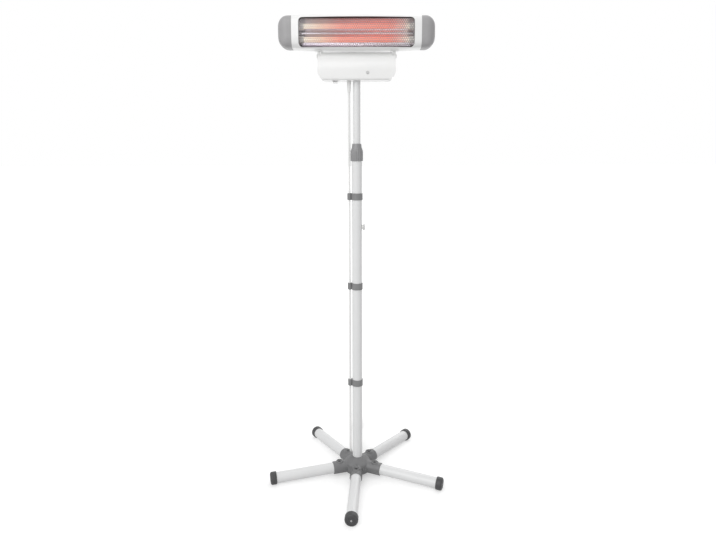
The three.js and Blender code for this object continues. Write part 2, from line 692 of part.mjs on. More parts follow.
function boxNotch(side) {
  const width = KNUCKLE_WIDTH - KNUCKLE_PROUD + NOTCH_GAP + OVERRUN;
  const x = side * (BOX_WIDTH / 2 + OVERRUN - width / 2);
  const radius = KNUCKLE_RADIUS + NOTCH_GAP;
  const round = laid(disc(radius, -width / 2, width / 2, 24), "x")
    .translate([x, 0, BOX_HEIGHT - PIVOT_DROP]);
  const over = block(width, BOX_DEPTH, BOX_HEIGHT, x, 0, 1.5 * BOX_HEIGHT - PIVOT_DROP - CLEAR);
  return joined(round, over);
}

function boxHalves() {
  const body = beam(boxSection(0), BOX_WIDTH, 6).intersect(slab(boxFront(), BOX_DEPTH, 6));
  const hollow = beam(boxSection(BOX_WALL), BOX_WIDTH - 2 * BOX_END_WALL, 4);
  const pinBore = laid(disc(PIVOT_PIN_RADIUS + CLEAR, -BOX_WIDTH, BOX_WIDTH, 16), "x");
  const throughFloor = (radius, x) => disc(radius, -OVERRUN, 2 * BOX_WALL, 28).translate([x, 0, 0]);
  const around = 2 * SWITCH_FRAME + 2 * CLEAR;
  const switchHole = block(
    SWITCH_WIDTH + around, SWITCH_LENGTH + around, 2 * SWITCH_DEPTH, SWITCH_PLACE, 0, 0,
  );
  const buttonHole = disc(BUTTON_RADIUS + CLEAR, BOX_DEPTH / 4, BOX_DEPTH, 20)
    .rotate([90, 0, 0])
    .translate([BUTTON_PLACE, 0, BUTTON_HEIGHT]);
  const whole = cut(body, hollow, boxNotch(-1), boxNotch(1),
    pinBore.translate([0, 0, BOX_HEIGHT - PIVOT_DROP]), switchHole, buttonHole,
    throughFloor(STEM_RADIUS + CLEAR, 0), throughFloor(GLAND_RADIUS + CLEAR, -CORD_OFFSET));
  const side = (sign) =>
    block(2 * BOX_WIDTH, BOX_DEPTH, 4 * BOX_HEIGHT, 0, (sign * (BOX_DEPTH + CLEAR)) / 2, 0);
  return [-1, 1].map((sign) => whole.intersect(side(sign)).translate([0, 0, BOX_FOOT]));
}

function stemSocket(floor) {
  const glandRoom = disc(GLAND_FLANGE + CLEAR, floor - OVERRUN, floor + STEM_IN_BOX + OVERRUN, 16);
  return cut(
    disc(BOSS_IN_BOX, floor, floor + STEM_IN_BOX, 28),
    disc(STEM_RADIUS + CLEAR, floor - OVERRUN, BOX_FOOT + STEM_IN_BOX + CLEAR, 28),
    glandRoom.translate([-CORD_OFFSET, 0, 0]),
  );
}

// The board fills its share of the room between the stem's socket and the solid end of the box.
function timerBoard(floor) {
  const width = BOARD_SHARE * (BOX_WIDTH / 2 - BOX_END_WALL - BOSS_IN_BOX);
  const x = BOSS_IN_BOX + CLEAR + width / 2;
  const top = BOX_FOOT + BUTTON_HEIGHT + 2 * BUTTON_RADIUS;
  const board = block(width, BOARD_DEPTH, BOARD_THICK, x, 0, top - BOARD_THICK / 2 + CLEAR);
  const components = BOARD_PART_SHARES.map((share, i) => {
    const place = x + share * width;
    const size = [width / (5 - i), BOARD_DEPTH / 2, BOARD_PART_HEIGHT];
    return block(...size, place, BOARD_DEPTH / 8, top + BOARD_PART_HEIGHT / 2);
  });
  const stands = [-1, 1].map((side) => {
    const size = [BOARD_DEPTH / 6, BOARD_DEPTH / 2, top - floor];
    return block(...size, x + (side * width) / 2.5, 0, (top + floor - CLEAR) / 2);
  });
  return joined(board, ...components, ...stands);
}

function terminalBlock(floor) {
  const x = -CORD_OFFSET - GLAND_FLANGE - CLEAR - TERMINAL_WIDTH / 2;
  const middle = floor + TERMINAL_HEIGHT / 2;
  const body = block(TERMINAL_WIDTH, TERMINAL_DEPTH, TERMINAL_HEIGHT, x, 0, middle);
  const screw = disc(TERMINAL_DEPTH / 6, middle, floor + TERMINAL_HEIGHT + OVERRUN, 10);
  const holes = [-1, 0, 1].map((i) => screw.translate([x + (i * TERMINAL_WIDTH) / 3, 0, 0]));
  return cut(body, ...holes);
}

function boxInside() {
  const floor = BOX_FOOT + BOX_WALL + CLEAR;
  piece("stem_socket", stemSocket(floor), "black");
  piece("timer_board", timerBoard(floor), "board");
  piece("terminal_block", terminalBlock(floor), "ceramic");
}

function startButton() {
  const face = BOX_DEPTH / 2 + BUTTON_PROUD;
  const dome = BUTTON_PROUD / 3;
  const seat = BOX_DEPTH / 2 - BOX_WALL - CLEAR;
  const profile = [[0, seat - BUTTON_FLANGE], [BUTTON_RADIUS + BUTTON_FLANGE, seat - BUTTON_FLANGE]];
  profile.push([BUTTON_RADIUS + BUTTON_FLANGE, seat], [BUTTON_RADIUS, seat], [BUTTON_RADIUS, face - dome]);
  profile.push([BUTTON_RADIUS - dome, face], [0, face]);
  return turned(profile, 20).rotate([90, 0, 0]).translate([BUTTON_PLACE, 0, BOX_FOOT + BUTTON_HEIGHT]);
}

// Rocker switch let into the floor of the box: a frame, and a key that tips about its middle.
function switchFrame() {
  const outer = [SWITCH_WIDTH + 2 * SWITCH_FRAME, SWITCH_LENGTH + 2 * SWITCH_FRAME];
  const wall = block(...outer, SWITCH_DEPTH, SWITCH_PLACE, 0, BOX_FOOT + SWITCH_DEPTH / 2);
  const well = SWITCH_DEPTH - SWITCH_FRAME;
  const inner = [SWITCH_WIDTH + 2 * CLEAR, SWITCH_LENGTH + 2 * CLEAR];
  const room = block(...inner, 2 * well, SWITCH_PLACE, 0, BOX_FOOT);
  const flange = block(outer[0] + SWITCH_FRAME, outer[1] + SWITCH_FRAME, SWITCH_FRAME / 2,
    SWITCH_PLACE, 0, BOX_FOOT - CLEAR - SWITCH_FRAME / 4);
  return cut(joined(wall, flange, block(...outer, SWITCH_FRAME, SWITCH_PLACE, 0, BOX_FOOT)), room);
}

function rockerKey() {
  const half = SWITCH_LENGTH / 2 - 2 * CLEAR;
  const reach = Math.hypot(half, ROCKER_PROUD);
  const start = Math.PI + Math.atan2(ROCKER_PROUD, half);
  const outline = new THREE.Shape().absarc(0, 0, reach, start, 3 * Math.PI - start, false);
  outline.lineTo(half / 2, ROCKER_ROUND).lineTo(-half / 2, ROCKER_ROUND);
  const key = beam(outline, SWITCH_WIDTH, 10);
  const floor = block(SWITCH_WIDTH, SWITCH_LENGTH, SWITCH_LENGTH, 0, 0, -ROCKER_PROUD - SWITCH_LENGTH / 2);
  return cut(key, floor).rotate([-ROCKER_TILT_DEG, 0, 0]).translate([SWITCH_PLACE, 0, BOX_FOOT]);
}

function controlBox() {
  const [front, rear] = boxHalves();
  piece("box_front", front, "casing");
  piece("box_rear", rear, "casing");
  boxInside();
  piece("start_button", startButton(), "grey");
  piece("switch_frame", switchFrame(), "grey");
  piece("rocker_switch", rockerKey(), "grey");
}

// Head skin: a soft-cornered section that swells towards the middle and rounds over at the end caps.
function headSize(x) {
  const share = Math.min(Math.abs(x) / casingHalf, 1) ** 2;
  const over = Math.max(Math.abs(x) - (HEAD_WIDTH / 2 - HEAD_CAP_ROUND), 0);
  const round = HEAD_CAP_ROUND - Math.sqrt(HEAD_CAP_ROUND ** 2 - over ** 2);
  return {
    depth: (HEAD_DEPTH + (HEAD_END_DEPTH - HEAD_DEPTH) * share) / 2 - round,
    height: (HEAD_HEIGHT + (HEAD_END_HEIGHT - HEAD_HEIGHT) * share) / 2 - round,
  };
}

function headRing(x, inset) {
  const { depth, height } = headSize(x);
  const power = 2 / HEAD_POWER;
  return counted(HEAD_STEPS).map((i) => {
    const a = (i / HEAD_STEPS) * tau;
    const [c, s] = [Math.cos(a), Math.sin(a)];
    const y = (depth - inset) * Math.sign(c) * Math.abs(c) ** power;
    const z = (height - inset) * Math.sign(s) * Math.abs(s) ** power;
    return new THREE.Vector3(x, y, z);
  });
}

function casingSkin(inset, half) {
  const places = counted(HEAD_STATIONS + 1).map((i) => half * ((2 * i) / HEAD_STATIONS - 1));
  return loft(places.map((x) => headRing(x, inset)));
}

function windowOutline(grow) {
  const [w, h] = [WINDOW_WIDTH / 2 + grow, WINDOW_HEIGHT / 2 + grow];
  const r = WINDOW_CORNER + grow;
  const arch = 2 * WINDOW_ARCH;
  const outline = new THREE.Shape().moveTo(-w + r, -h).quadraticCurveTo(0, -h - arch, w - r, -h);
  outline.absarc(w - r, -h + r, r, 1.5 * Math.PI, tau, false).lineTo(w, h - r);
  outline.absarc(w - r, h - r, r, 0, Math.PI / 2, false).quadraticCurveTo(0, h + arch, -w + r, h);
  outline.absarc(-w + r, h - r, r, Math.PI / 2, Math.PI, false).lineTo(-w, -h + r);
  return outline.absarc(-w + r, -h + r, r, Math.PI, 1.5 * Math.PI, false);
}

function headCasing() {
  const wall = cut(casingSkin(0, casingHalf), casingSkin(HEAD_WALL, casingHalf + OVERRUN));
  const window = slab(windowOutline(0), HEAD_DEPTH, 5)
    .translate([0, -HEAD_DEPTH / 2 - SEAM_SHIFT, WINDOW_LOW]);
  const wide = HEAD_WIDTH + HEAD_DEPTH;
  const half = (sign) =>
    block(wide, HEAD_DEPTH, 2 * HEAD_HEIGHT, 0, SEAM_SHIFT + (sign * (HEAD_DEPTH + CLEAR)) / 2, 0);
  return [cut(wall.intersect(half(-1)), window), wall.intersect(half(1))];
}

// An end cap: a rounded shell with a seat that plugs into the casing.
function endCap(side) {
  const start = casingHalf + CLEAR;
  const end = HEAD_WIDTH / 2;
  const bend = end - HEAD_CAP_ROUND;
  const turns = CAP_ROUND_SHARES.map((share) => bend + HEAD_CAP_ROUND * share);
  const outer = loft([start, ...turns].map((x) => headRing(x, 0)));
  const hollow = [start - CAP_SEAT - OVERRUN, ...turns.slice(0, -1)];
  const inner = loft(hollow.map((x) => headRing(x - CAP_WALL, CAP_WALL)));
  const seat = loft([start - CAP_SEAT, start + CLEAR].map((x) => headRing(x, HEAD_WALL + CLEAR)));
  const cap = cut(joined(outer, seat), inner);
  return side > 0 ? cap : cap.mirror([1, 0, 0]);
}

// How far in front of the head's middle the skin lies at a height, on the section at the window's ends.
function skinDepth(z, inset) {
  const { depth, height } = headSize(WINDOW_WIDTH / 2);
  return (depth - inset) * (1 - (Math.abs(z) / (height - inset)) ** HEAD_POWER) ** (1 / HEAD_POWER);
}

// Guard grille: a sheet bent to the curve of the casing, cut into a net of upright and cross wires.
function grille() {
  const [w, h] = [WINDOW_WIDTH - 2 * GRILLE_FRAME, WINDOW_HEIGHT - 2 * GRILLE_FRAME];
  const [stepX, stepZ] = [w / GRILLE_COLUMNS, h / GRILLE_ROWS];
  const end = WINDOW_HEIGHT / 2 + GRILLE_FRAME + WINDOW_ARCH;
  const rows = counted(GRILLE_ROWS + 1).map((row) => -h / 2 + row * stepZ);
  const front = [-end, ...rows, end].map((z) => z + WINDOW_LOW)
    .map((z) => new THREE.Vector2(-skinDepth(z, HEAD_WALL + GRILLE_SETBACK), z));
  const back = front.map((p) => new THREE.Vector2(p.x + GRILLE_THICK, p.y)).reverse();
  const sheet = beam(new THREE.Shape([...front, ...back]), 2 * WINDOW_WIDTH);
  const outline = slab(windowOutline(GRILLE_FRAME), 2 * HEAD_DEPTH, 4).translate([0, 0, WINDOW_LOW]);
  const holes = [];
  for (let row = 0; row < GRILLE_ROWS; row++) {
    const odd = row % 2;
    for (let column = 0; column < GRILLE_COLUMNS - odd; column++) {
      const hole = new THREE.BoxGeometry(stepX - GRILLE_WIRE, HEAD_DEPTH, stepZ - GRILLE_WIRE);
      const x = (column + (1 + odd - GRILLE_COLUMNS) / 2) * stepX;
      holes.push(hole.translate(x, -HEAD_DEPTH / 2, WINDOW_LOW + (row + 0.5 - GRILLE_ROWS / 2) * stepZ));
    }
  }
  return cut(sheet.intersect(outline), solid(mergeGeometries(holes)));
}

// Reflector: one bright sheet pressed into a trough behind each tube.
function reflector() {
  const points = [];
  const fold = (y, z) => points.push(new THREE.Vector2(y, z));
  const trough = (low, high, from, to) => {
    for (let i = 0; i <= REFLECTOR_STEPS; i++) {
      const share = i / REFLECTOR_STEPS;
      const base = from + (to - from) * share;
      const deep = (REFLECTOR_BACK - base) * Math.sin(Math.PI * share) ** REFLECTOR_POWER;
      fold(base + deep, low + (high - low) * share);
    }
  };
  trough(-REFLECTOR_HALF, -REFLECTOR_THICK, REFLECTOR_FRONT, REFLECTOR_RIDGE);
  trough(REFLECTOR_THICK, REFLECTOR_HALF, REFLECTOR_RIDGE, REFLECTOR_FRONT);
  const back = points.map((p) => new THREE.Vector2(p.x + REFLECTOR_THICK, p.y)).reverse();
  return beam(new THREE.Shape([...points, ...back]), REFLECTOR_WIDTH, 1).translate([0, 0, TUBE_CENTRE_LOW]);
}

// A heating element: an even coil on the X axis whose ends run straight into the ceramics.
function heatingCoil() {
  const half = QUARTZ_LENGTH / 2 - 2 * CERAMIC_LIP;
  const tail = 4 * COIL_WIRE;
  const points = [[-half - tail, coilRadius, 0]];
  const steps = COIL_TURNS * COIL_STEPS;
  for (let i = 0; i <= steps; i++) {
    const a = (i / COIL_STEPS) * tau;
    points.push([-half + (2 * half * i) / steps, coilRadius * Math.cos(a), coilRadius * Math.sin(a)]);
  }
  points.push([half + tail, coilRadius, 0]);
  return tubeAlong(cordCurve(points), COIL_WIRE, points.length - 1, COIL_SIDES);
}

function ceramicEnd(side) {
  const seat = QUARTZ_LENGTH / 2 - CERAMIC_LIP;
  const end = seat + CERAMIC_LENGTH;
  const bore = QUARTZ_RADIUS + CLEAR;
  const step = REFLECTOR_WIDTH / 2 + CLEAR;
  const neck = CERAMIC_RADIUS - CERAMIC_LIP / 2;
  const holder = turned([
    [bore, seat], [CERAMIC_RADIUS, seat], [CERAMIC_RADIUS, step], [neck, step], [neck, end],
    [0, end], [0, end - CERAMIC_LIP], [coilRadius + 2 * COIL_WIRE, end - CERAMIC_LIP],
    [coilRadius + 2 * COIL_WIRE, seat + CERAMIC_LIP + CLEAR], [bore, seat + CERAMIC_LIP + CLEAR],
    [bore, seat],
  ], 16);
  return laid(holder, "x").rotate([0, 0, side > 0 ? 0 : 180]);
}

// End plates close the reflector and carry the ceramics; their flat tabs meet the casing wall.
function endPlate(side) {
  const x = REFLECTOR_WIDTH / 2 + 2 * CLEAR;
  const skin = loft([x, x + PLATE_THICK].map((place) => headRing(place, HEAD_WALL + CLEAR)));
  const frontPlace = -HEAD_DEPTH / 2 + REFLECTOR_FRONT - PLATE_EDGE;
  const front = block(2 * x, HEAD_DEPTH, 2 * HEAD_HEIGHT, x, frontPlace, 0);
  const neck = CERAMIC_RADIUS - CERAMIC_LIP / 2 + CLEAR;
  const hole = laid(disc(neck, x - OVERRUN, x + PLATE_THICK + OVERRUN, 20), "x");
  const plate = cut(skin, front, ...tubeHeights.map((z) => hole.translate([0, TUBE_PLACE, z])));
  return side > 0 ? plate : plate.mirror([1, 0, 0]);
}

// Tilt arms: a knuckle let into each top corner of the box, under a pad shaped to the casing.
function tiltArm(side) {
  const reach = headHeight - pivotHeight;
  const x = pivotReach - KNUCKLE_WIDTH / 2;
  const knuckle = laid(disc(KNUCKLE_RADIUS, -KNUCKLE_WIDTH / 2, KNUCKLE_WIDTH / 2, 24), "x");
  const neckHeight = reach - HEAD_END_HEIGHT / 3;
  const neck = block(ARM_WIDTH, ARM_DEPTH, neckHeight, 0, 0, neckHeight / 2);
  const bore = laid(disc(PIVOT_PIN_RADIUS + CLEAR, -BOX_WIDTH, BOX_WIDTH, 16), "x");
  const head = casingSkin(-CLEAR, casingHalf).translate([0, 0, reach]);
  const under = casingSkin(-CLEAR - ARM_PAD_THICK, casingHalf).translate([0, 0, reach]);
  const pad = under.intersect(block(ARM_PAD_WIDTH, ARM_PAD_DEPTH, HEAD_END_HEIGHT, x, 0, 0));
  const arm = cut(joined(knuckle, neck).translate([x, 0, 0]), bore);
  const whole = cut(joined(arm, pad), head);
  return (side > 0 ? whole : whole.mirror([1, 0, 0])).translate([0, 0, pivotHeight]);
}

function pivotPin(side) {
  const inner = pivotReach - KNUCKLE_WIDTH - BOX_END_WALL / 2;
  const outer = pivotReach + CLEAR;
  const pin = joined(disc(PIVOT_PIN_RADIUS, inner, outer + CLEAR, 16),
    disc(PIVOT_PIN_HEAD, outer, outer + PIVOT_PIN_HEAD_THICK, 20));
  return laid(pin, "x").rotate([0, 0, side > 0 ? 0 : 180]).translate([0, 0, pivotHeight]);
}

function heaterHead() {
  const raised = (made) => made.translate([0, 0, headHeight]);
  const [front, rear] = headCasing();
  piece("head_front", raised(front), "casing");
  piece("head_rear", raised(rear), "casing");
  piece("grille", raised(grille()), "steel");
  piece("reflector", raised(reflector()), "mirrorSheet");
  const quartzBore = QUARTZ_RADIUS - QUARTZ_WALL;
  const quartz = laid(pipe(QUARTZ_RADIUS, quartzBore, -QUARTZ_LENGTH / 2, QUARTZ_LENGTH / 2, 20), "x");
  const coil = solid(heatingCoil());
  ["lower", "upper"].forEach((place, i) => {
    const at = [0, TUBE_PLACE, tubeHeights[i]];
    piece("quartz_tube_" + place, raised(quartz.translate(at)), "quartz");
    piece("heating_coil_" + place, raised(coil.translate(at)), "element");
    piece("ceramic_left_" + place, raised(ceramicEnd(-1).translate(at)), "ceramic");
    piece("ceramic_right_" + place, raised(ceramicEnd(1).translate(at)), "ceramic");
  });
  const cutout = disc(CUTOUT_RADIUS, 0, CUTOUT_THICK, 20).rotate([-90, 0, 0]);
  const cutoutPlace = [0, REFLECTOR_BACK + REFLECTOR_THICK + CLEAR, TUBE_CENTRE_LOW + REFLECTOR_HALF / 2];
  piece("thermal_cutout", raised(cutout.translate(cutoutPlace)), "ceramic");
  [[-1, "left"], [1, "right"]].forEach(([side, name]) => {
    piece("end_cap_" + name, raised(endCap(side)), "grey");
    piece("end_plate_" + name, raised(endPlate(side)), "steel");
    piece("tilt_arm_" + name, tiltArm(side), "grey");
    piece("pivot_pin_" + name, pivotPin(side), "steel");
  });
}

starFoot();
mast();
heaterHead();
piece("collet", collet(), "black");
piece("lock_collar", lockCollar(), "darkGrey");
sideKnob();
CLIP_HEIGHTS.forEach((height, i) => piece("cord_clip_" + (i + 1), cordClip(height), "grey"));
piece("cord_gland", cordGland(), "lead");
controlBox();
mainsLead();

// The heater's own middle, the lead left out, comes over the origin.
const leadNames = ["cord_riser", "cord_run", "cord_hank", "hank_tie", "mains_plug"];
const bounds = new THREE.Box3();
const rigid = heater.children.filter((mesh) => !leadNames.includes(mesh.name));
rigid.forEach((mesh) => bounds.expandByObject(mesh));
const middle = bounds.getCenter(new THREE.Vector3());
heater.children.forEach((mesh) => mesh.geometry.translate(-middle.x, -middle.y, 0));
console.log("mast axis at " + (-middle.x).toFixed(3) + " " + (-middle.y).toFixed(3));

export default heater;
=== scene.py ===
import math

import bmesh
import bpy
from mathutils import Matrix, Vector
from mathutils.geometry import interpolate_bezier


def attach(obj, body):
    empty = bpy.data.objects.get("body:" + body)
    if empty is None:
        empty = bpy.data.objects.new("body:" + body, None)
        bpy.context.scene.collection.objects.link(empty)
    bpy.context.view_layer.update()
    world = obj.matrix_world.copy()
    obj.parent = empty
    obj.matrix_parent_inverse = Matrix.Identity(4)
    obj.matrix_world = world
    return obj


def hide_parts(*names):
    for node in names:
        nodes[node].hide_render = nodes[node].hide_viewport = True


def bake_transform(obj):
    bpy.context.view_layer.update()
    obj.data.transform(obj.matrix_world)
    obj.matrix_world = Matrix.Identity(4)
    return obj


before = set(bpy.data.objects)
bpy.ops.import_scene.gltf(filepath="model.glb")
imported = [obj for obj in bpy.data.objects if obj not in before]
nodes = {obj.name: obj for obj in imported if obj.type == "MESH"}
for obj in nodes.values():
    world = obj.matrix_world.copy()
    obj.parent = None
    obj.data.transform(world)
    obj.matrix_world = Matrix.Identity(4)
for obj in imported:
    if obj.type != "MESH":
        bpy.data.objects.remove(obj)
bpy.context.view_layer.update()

mm = 0.001
tau = 2 * math.pi
mast_line = Vector((0.004588, 0.019122, 0))

# Camera: in front of the mast at chest height, looking down a little so that the feet spread out below.
# Its picture is 716 by 540, with the optical axis above the middle.
picture_width, focal_pixels, axis_rise_pixels = 716, 580, 22
camera_pitch, camera_roll = math.radians(80), math.radians(0.1)
camera_lens = bpy.data.cameras.new("camera")
camera_lens.sensor_width = 36
camera_lens.lens = camera_lens.sensor_width * focal_pixels / picture_width
camera_lens.shift_y = -axis_rise_pixels / picture_width
camera = bpy.data.objects.new("camera", camera_lens)
camera.location = mast_line + Vector((0.0037, -1.83, 1.102))
camera.rotation_euler = (camera_pitch, camera_roll, 0)
bpy.context.scene.collection.objects.link(camera)
bpy.context.scene.camera = camera
bpy.context.scene.view_settings.view_transform = "Standard"

# Floor and light: a wide white floor that keeps soft shadows, a bright even sky, one broad lamp from
# the upper left and weaker ones from above and behind. Floor and sky are made white for the camera and
# in what the pieces mirror, and put no more light on the pieces.
floor_reach, floor_drop = 30, 0.4 * mm
white_near, white_per_metre, most_white_added = 0.42, 0.12, 0.5
sky_strength, white = 0.58, (1, 1, 1, 1)


class Wire:
    """A value on its way through a material, worked with like a number."""

    def __init__(self, tree, socket):
        self.tree = tree
        self.socket = socket

    def math(self, operation, *values):
        node = self.tree.nodes.new("ShaderNodeMath")
        node.operation = operation
        for slot, value in zip(node.inputs, values):
            put(self.tree, slot, value)
        return Wire(self.tree, node.outputs[0])

    def __add__(self, other):
        return self.math("ADD", self, other)

    def __sub__(self, other):
        return self.math("SUBTRACT", self, other)

    def __mul__(self, other):
        return self.math("MULTIPLY", self, other)

    def __truediv__(self, other):
        return self.math("DIVIDE", self, other)

    __radd__ = __add__


def put(tree, slot, value):
    """Links a wire to a socket, or sets a plain value on it."""
    if isinstance(value, Wire):
        tree.links.new(value.socket, slot)
    else:
        slot.default_value = value


class Finish:
    """A surface finish: a Principled shader whose constants are set on its own sockets."""

    def __init__(self, name, colour, roughness, **constants):
        self.material = bpy.data.materials.new(name)
        self.material.use_nodes = True
        self.tree = self.material.node_tree
        self.shader = self.tree.nodes["Principled BSDF"]
        self.colour = colour
        self.shader.inputs["Base Color"].default_value = (*colour, 1)
        self.shader.inputs["Roughness"].default_value = roughness
        self.material.diffuse_color = (*colour, 1)
        for socket, value in constants.items():
            self.shader.inputs[socket.replace("_", " ")].default_value = value

    def node(self, kind, settings=None, output=0, **sockets):
        """A node of this kind, its settings first, then its sockets; gives one of its outputs."""
        made = self.tree.nodes.new("ShaderNode" + kind)
        for key, value in (settings or {}).items():
            setattr(made, key, value)
        for key, value in sockets.items():
            put(self.tree, made.inputs[key.replace("_", " ")], value)
        return Wire(self.tree, made.outputs[output])

    def place(self, scale=(1, 1, 1)):
        """Object coordinates, stretched by scale."""
        return self.node("Mapping", Vector=self.node("TexCoord", output="Object"), Scale=scale)

    def noise(self, per_metre, detail=2, stretch=(1, 1, 1)):
        return self.node("TexNoise", Vector=self.place(stretch), Scale=per_metre, Detail=detail)

    def ramp(self, value, *stops):
        made = self.tree.nodes.new("ShaderNodeValToRGB")
        while len(made.color_ramp.elements) < len(stops):
            made.color_ramp.elements.new(1)
        for element, (position, colour) in zip(made.color_ramp.elements, stops):
            element.position = position
            element.color = (*colour, 1)
        put(self.tree, made.inputs[0], value)
        return Wire(self.tree, made.outputs[0])

    def shades(self, value, spread):
        """The finish's own colour, a little darker and lighter as value goes from 0 to 1."""
        dark = [max(c * (1 - spread), 0) for c in self.colour]
        light = [min(c * (1 + spread), 1) for c in self.colour]
        return self.ramp(value, (0.3, dark), (0.7, light))

    def drive(self, socket, value):
        put(self.tree, self.shader.inputs[socket], value)

    def relief(self, height, distance, strength=1.0):
        self.drive("Normal", self.node("Bump", Height=height, Distance=distance, Strength=strength))

    def vary(self, mottle=None, gloss=None, grain=None):
        """Noise in the colour (per metre, spread), the roughness (per metre, gain, least) and the surface
        (per metre, depth in millimetres, strength). Colour and surface may end with a detail."""
        if mottle:
            per_metre, spread, *detail = mottle
            self.drive("Base Color", self.shades(self.noise(per_metre, *detail), spread))
        if gloss:
            per_metre, gain, least = gloss
            self.drive("Roughness", self.noise(per_metre) * gain + least)
        if grain:
            per_metre, depth, strength, *detail = grain
            self.relief(self.noise(per_metre, *detail), depth * mm, strength)


def background_rays(tree):
    """1 for the camera's rays and for what a piece mirrors or lets through, else 0."""
    path = tree.nodes.new("ShaderNodeLightPath")
    seen = 0
    for kind in ("Is Camera Ray", "Is Glossy Ray", "Is Transmission Ray"):
        ray = Wire(tree, path.outputs[kind])
        seen = ray.math("MAXIMUM", ray, seen)
    return seen


floor_skin = Finish("floor", (0.66, 0.66, 0.66), 0.9, Emission_Strength=1)
floor_skin.drive("Base Color", floor_skin.shades(floor_skin.noise(3), 0.01))
away = floor_skin.node("VectorMath", {"operation": "LENGTH"}, output="Value", Vector=floor_skin.place())
added = away * white_per_metre
glare = background_rays(floor_skin.tree) * (white_near + added.math("MINIMUM", added, most_white_added))
floor_skin.drive("Emission Color", floor_skin.node("CombineXYZ", X=glare, Y=glare, Z=glare))
floor_mesh = bmesh.new()
bmesh.ops.create_grid(floor_mesh, x_segments=1, y_segments=1, size=floor_reach)
bmesh.ops.translate(floor_mesh, verts=floor_mesh.verts, vec=(0, 0, -floor_drop))
floor_data = bpy.data.meshes.new("floor")
floor_mesh.to_mesh(floor_data)
floor_data.materials.append(floor_skin.material)
floor = bpy.data.objects.new("floor", floor_data)
bpy.context.scene.collection.objects.link(floor)

sky = bpy.data.worlds.new("sky")
sky.use_nodes = True
bpy.context.scene.world = sky
sky_tree = sky.node_tree
sky_light = sky_tree.nodes["Background"]
sky_light.inputs["Color"].default_value = white
sky_light.inputs["Strength"].default_value = sky_strength
sky_seen = sky_tree.nodes.new("ShaderNodeBackground")
sky_seen.inputs["Color"].default_value = white
sky_mix = sky_tree.nodes.new("ShaderNodeMixShader")
put(sky_tree, sky_mix.inputs[0], background_rays(sky_tree))
sky_tree.links.new(sky_light.outputs[0], sky_mix.inputs[1])
sky_tree.links.new(sky_seen.outputs[0], sky_mix.inputs[2])
sky_tree.links.new(sky_mix.outputs[0], sky_tree.nodes["World Output"].inputs["Surface"])


def lamp(name, place, aim, size, power):
    """A square lamp that points from its place to its aim."""
    light = bpy.data.lights.new(name, "AREA")
    light.size = size
    light.energy = power
    holder = bpy.data.objects.new(name, light)
    holder.location = place
    holder.rotation_euler = (Vector(aim) - Vector(place)).to_track_quat("-Z", "Y").to_euler()
    bpy.context.scene.collection.objects.link(holder)


lamp("key_lamp", (-2.1, -3.95, 3.7), (0, 0, 0.9), 4.6, 150)
lamp("top_lamp", (0.6, 0.4, 4.6), (0, 0, 0.6), 2.5, 15)
lamp("back_lamp", (1.6, 4.2, 3.2), (0, 0, 0.9), 4, 60)

# Leg tubes: round steel tube, cut square, powder-coated white, pushed 43 mm into the hub. They fall
# 9 mm over their length.
leg_count, leg_turn = 5, math.radians(-3.5)
leg_radius, leg_wall, leg_start, leg_reach, leg_drop = 17.5 * mm, 1.5 * mm, 42 * mm, 282 * mm, 9 * mm
cap_radius, cap_flat = 20.5 * mm, 1 * mm
hub_axis = cap_radius - cap_flat + leg_drop
leg_slope = math.atan2(leg_drop, leg_reach)
lay_along_x = Matrix.Rotation(math.pi / 2, 4, "Y")


def on_leg(i):
    """The frame of one leg: X runs out along it, from the mast line, and Z points up."""
    heading = -math.pi / 2 + leg_turn + i * tau / leg_count
    around_mast = Matrix.Translation(mast_line) @ Matrix.Rotation(heading, 4, "Z")
    return around_mast @ Matrix.Translation((0, 0, hub_axis)) @ Matrix.Rotation(leg_slope, 4, "Y")


def spun(profile, segments=72, place=None, closed=True):
    """A closed outline of (radius, height) pairs turned about Z, then put in its place."""
    made = bmesh.new()
    corners = [made.verts.new((r, 0, z)) for r, z in profile]
    pairs = list(zip(corners, corners[1:] + corners[:1])) if closed else list(zip(corners, corners[1:]))
    edges = [made.edges.new(pair) for pair in pairs]
    bmesh.ops.spin(made, geom=corners + edges, cent=(0, 0, 0), axis=(0, 0, 1), angle=tau, steps=segments,
                   use_merge=True, use_duplicate=False)
    bmesh.ops.remove_doubles(made, verts=made.verts, dist=0.001 * mm)
    bmesh.ops.dissolve_degenerate(made, edges=made.edges, dist=0.001 * mm)
    bmesh.ops.recalc_face_normals(made, faces=made.faces)
    if place:
        bmesh.ops.transform(made, matrix=place, verts=made.verts)
    return made


def pipe(outer, inner, low, high, lip=0.3 * mm, **more):
    """A tube whose cut ends have a small rounded lip."""
    outside = [(outer - lip, low), (outer, low + lip), (outer, high - lip), (outer - lip, high)]
    return spun([(inner, low), *outside, (inner, high)], **more)


def show(name, made, body, finish, *stands_for, edge=0, angle=38):
    """Puts a mesh in the scene on its body, with smooth faces and softened corners."""
    data = bpy.data.meshes.new(name)
    made.to_mesh(data)
    made.free()
    data.shade_smooth()
    data.set_sharp_from_angle(angle=math.radians(angle))
    data.materials.append(finish.material)
    thing = bpy.data.objects.new(name, data)
    bpy.context.scene.collection.objects.link(thing)
    if edge:
        bevel = thing.modifiers.new("edges", "BEVEL")
        bevel.width = edge
        bevel.segments = 3
        bevel.limit_method = "ANGLE"
        bevel.angle_limit = math.radians(angle)
        bevel.harden_normals = False
    if body:
        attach(thing, body)
    if stands_for:
        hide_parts(*stands_for)
    return thing


